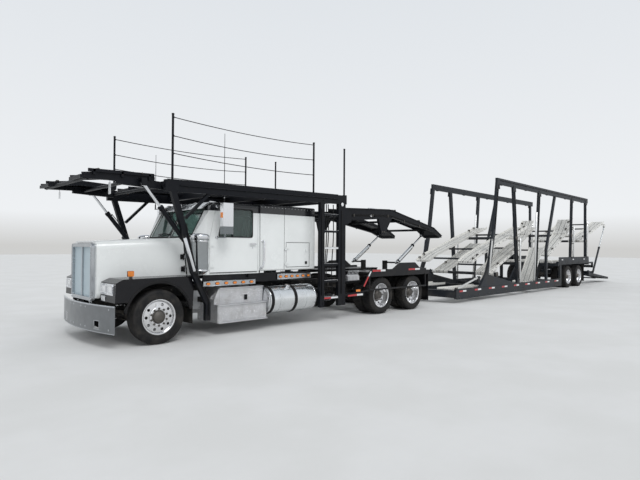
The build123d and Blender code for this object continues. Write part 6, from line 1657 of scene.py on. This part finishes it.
BUILDS = (
    bumper_trim, hood_trim, grille_trim, headlamp_trim, fender_trim, screen_trim, visor_trim, sleeper_trim,
    aerials, cleaner_trim, lamp_strips, box_trim, tank_trim, frame_gear, valve_bank, drive_trim, rack_trim,
    head_ramp_trim, truck_deck_trim, deck_trim, side_frame_trim, pivot_trim, beam_trim, trailer_track_trim,
    tail_trim, cylinder_trim, neck_trim, cab_inside, seat_pads,
)
for build in BUILDS:
    build()
for side, hand in ((1, "left"), (-1, "right")):
    door_trim(side, hand)


# Stage, light and camera


def stage_set():
    """Pale floor, soft sun, and a studio world that shows a gradient but lights evenly."""
    half = 90
    floor = bpy.data.meshes.new("floor")
    corners = [(-half, -half, 0), (half, -half, 0), (half, half, 0), (-half, half, 0)]
    floor.from_pydata(corners, [], [(0, 1, 2, 3)])
    ground = bpy.data.objects.new("floor", floor)
    bpy.context.scene.collection.objects.link(ground)
    s = Surface("floor_grey", 0.9)
    s.colour(s.mix(s.stretch(s.noise(0.8, 6), 0.35, 0.7), (0.70, 0.70, 0.69), (0.74, 0.74, 0.735)))
    floor.materials.append(s.material)
    world = bpy.data.worlds.new("studio")
    bpy.context.scene.world = world
    world.use_nodes = True
    tree = world.node_tree
    shown = tree.nodes["Background"]
    light = tree.nodes.new("ShaderNodeBackground")
    light.inputs["Color"].default_value = (0.93, 0.965, 1.0, 1)
    light.inputs["Strength"].default_value = 0.72
    place = tree.nodes.new("ShaderNodeTexCoord")
    parts = tree.nodes.new("ShaderNodeSeparateXYZ")
    ramp = tree.nodes.new("ShaderNodeValToRGB")
    stops = ramp.color_ramp.elements
    stops[0].position, stops[0].color = 0.0, (0.62, 0.62, 0.61, 1)
    stops[1].position, stops[1].color = 0.06, (0.86, 0.88, 0.90, 1)
    high = stops.new(1.0)
    high.color = (0.60, 0.65, 0.71, 1)
    tree.links.new(place.outputs["Generated"], parts.inputs[0])
    tree.links.new(parts.outputs["Z"], ramp.inputs["Fac"])
    tree.links.new(ramp.outputs["Color"], shown.inputs["Color"])
    path = tree.nodes.new("ShaderNodeLightPath")
    either = path.outputs["Is Camera Ray"]
    for name in ("Is Glossy Ray", "Is Transmission Ray"):
        largest = tree.nodes.new("ShaderNodeMath")
        largest.operation = "MAXIMUM"
        tree.links.new(either, largest.inputs[0])
        tree.links.new(path.outputs[name], largest.inputs[1])
        either = largest.outputs[0]
    mix = tree.nodes.new("ShaderNodeMixShader")
    tree.links.new(either, mix.inputs["Fac"])
    tree.links.new(light.outputs[0], mix.inputs[1])
    tree.links.new(shown.outputs[0], mix.inputs[2])
    tree.links.new(mix.outputs[0], tree.nodes["World Output"].inputs["Surface"])
    lamp = bpy.data.lights.new("soft_sun", "SUN")
    lamp.energy, lamp.angle = 1.1, radians(25)
    sun = bpy.data.objects.new("soft_sun", lamp)
    sun.rotation_euler = (radians(38), radians(10), radians(150))
    bpy.context.scene.collection.objects.link(sun)


# Focal length and width of the photograph in pixels, and the camera's sensor in millimetres
FOCAL, PHOTO_W, SENSOR = 493.66, 640, 36


def camera():
    """Camera at the photograph's place, fitted to its wheels and posts."""
    yaw, pitch, roll = 0.802, 0.0141, 0.0067
    ahead = Vector((-cos(yaw) * cos(pitch), -sin(yaw) * cos(pitch), sin(pitch)))
    right = ahead.cross(Vector((0, 0, 1))).normalized()
    up = right.cross(ahead)
    turned_right = right * cos(roll) + up * sin(roll)
    turned_up = up * cos(roll) - right * sin(roll)
    data = bpy.data.cameras.new("camera")
    data.sensor_fit, data.sensor_width, data.lens = "HORIZONTAL", SENSOR, FOCAL * SENSOR / PHOTO_W
    data.clip_end = 400
    made = bpy.data.objects.new("camera", data)
    basis = Matrix((turned_right, turned_up, -ahead)).transposed().to_4x4()
    made.matrix_world = Matrix.Translation((3.8617 + AXLE, 9.0625, 1.6646)) @ basis
    bpy.context.scene.collection.objects.link(made)
    bpy.context.scene.camera = made


stage_set()
camera()
bpy.context.scene.view_settings.view_transform = "Standard"
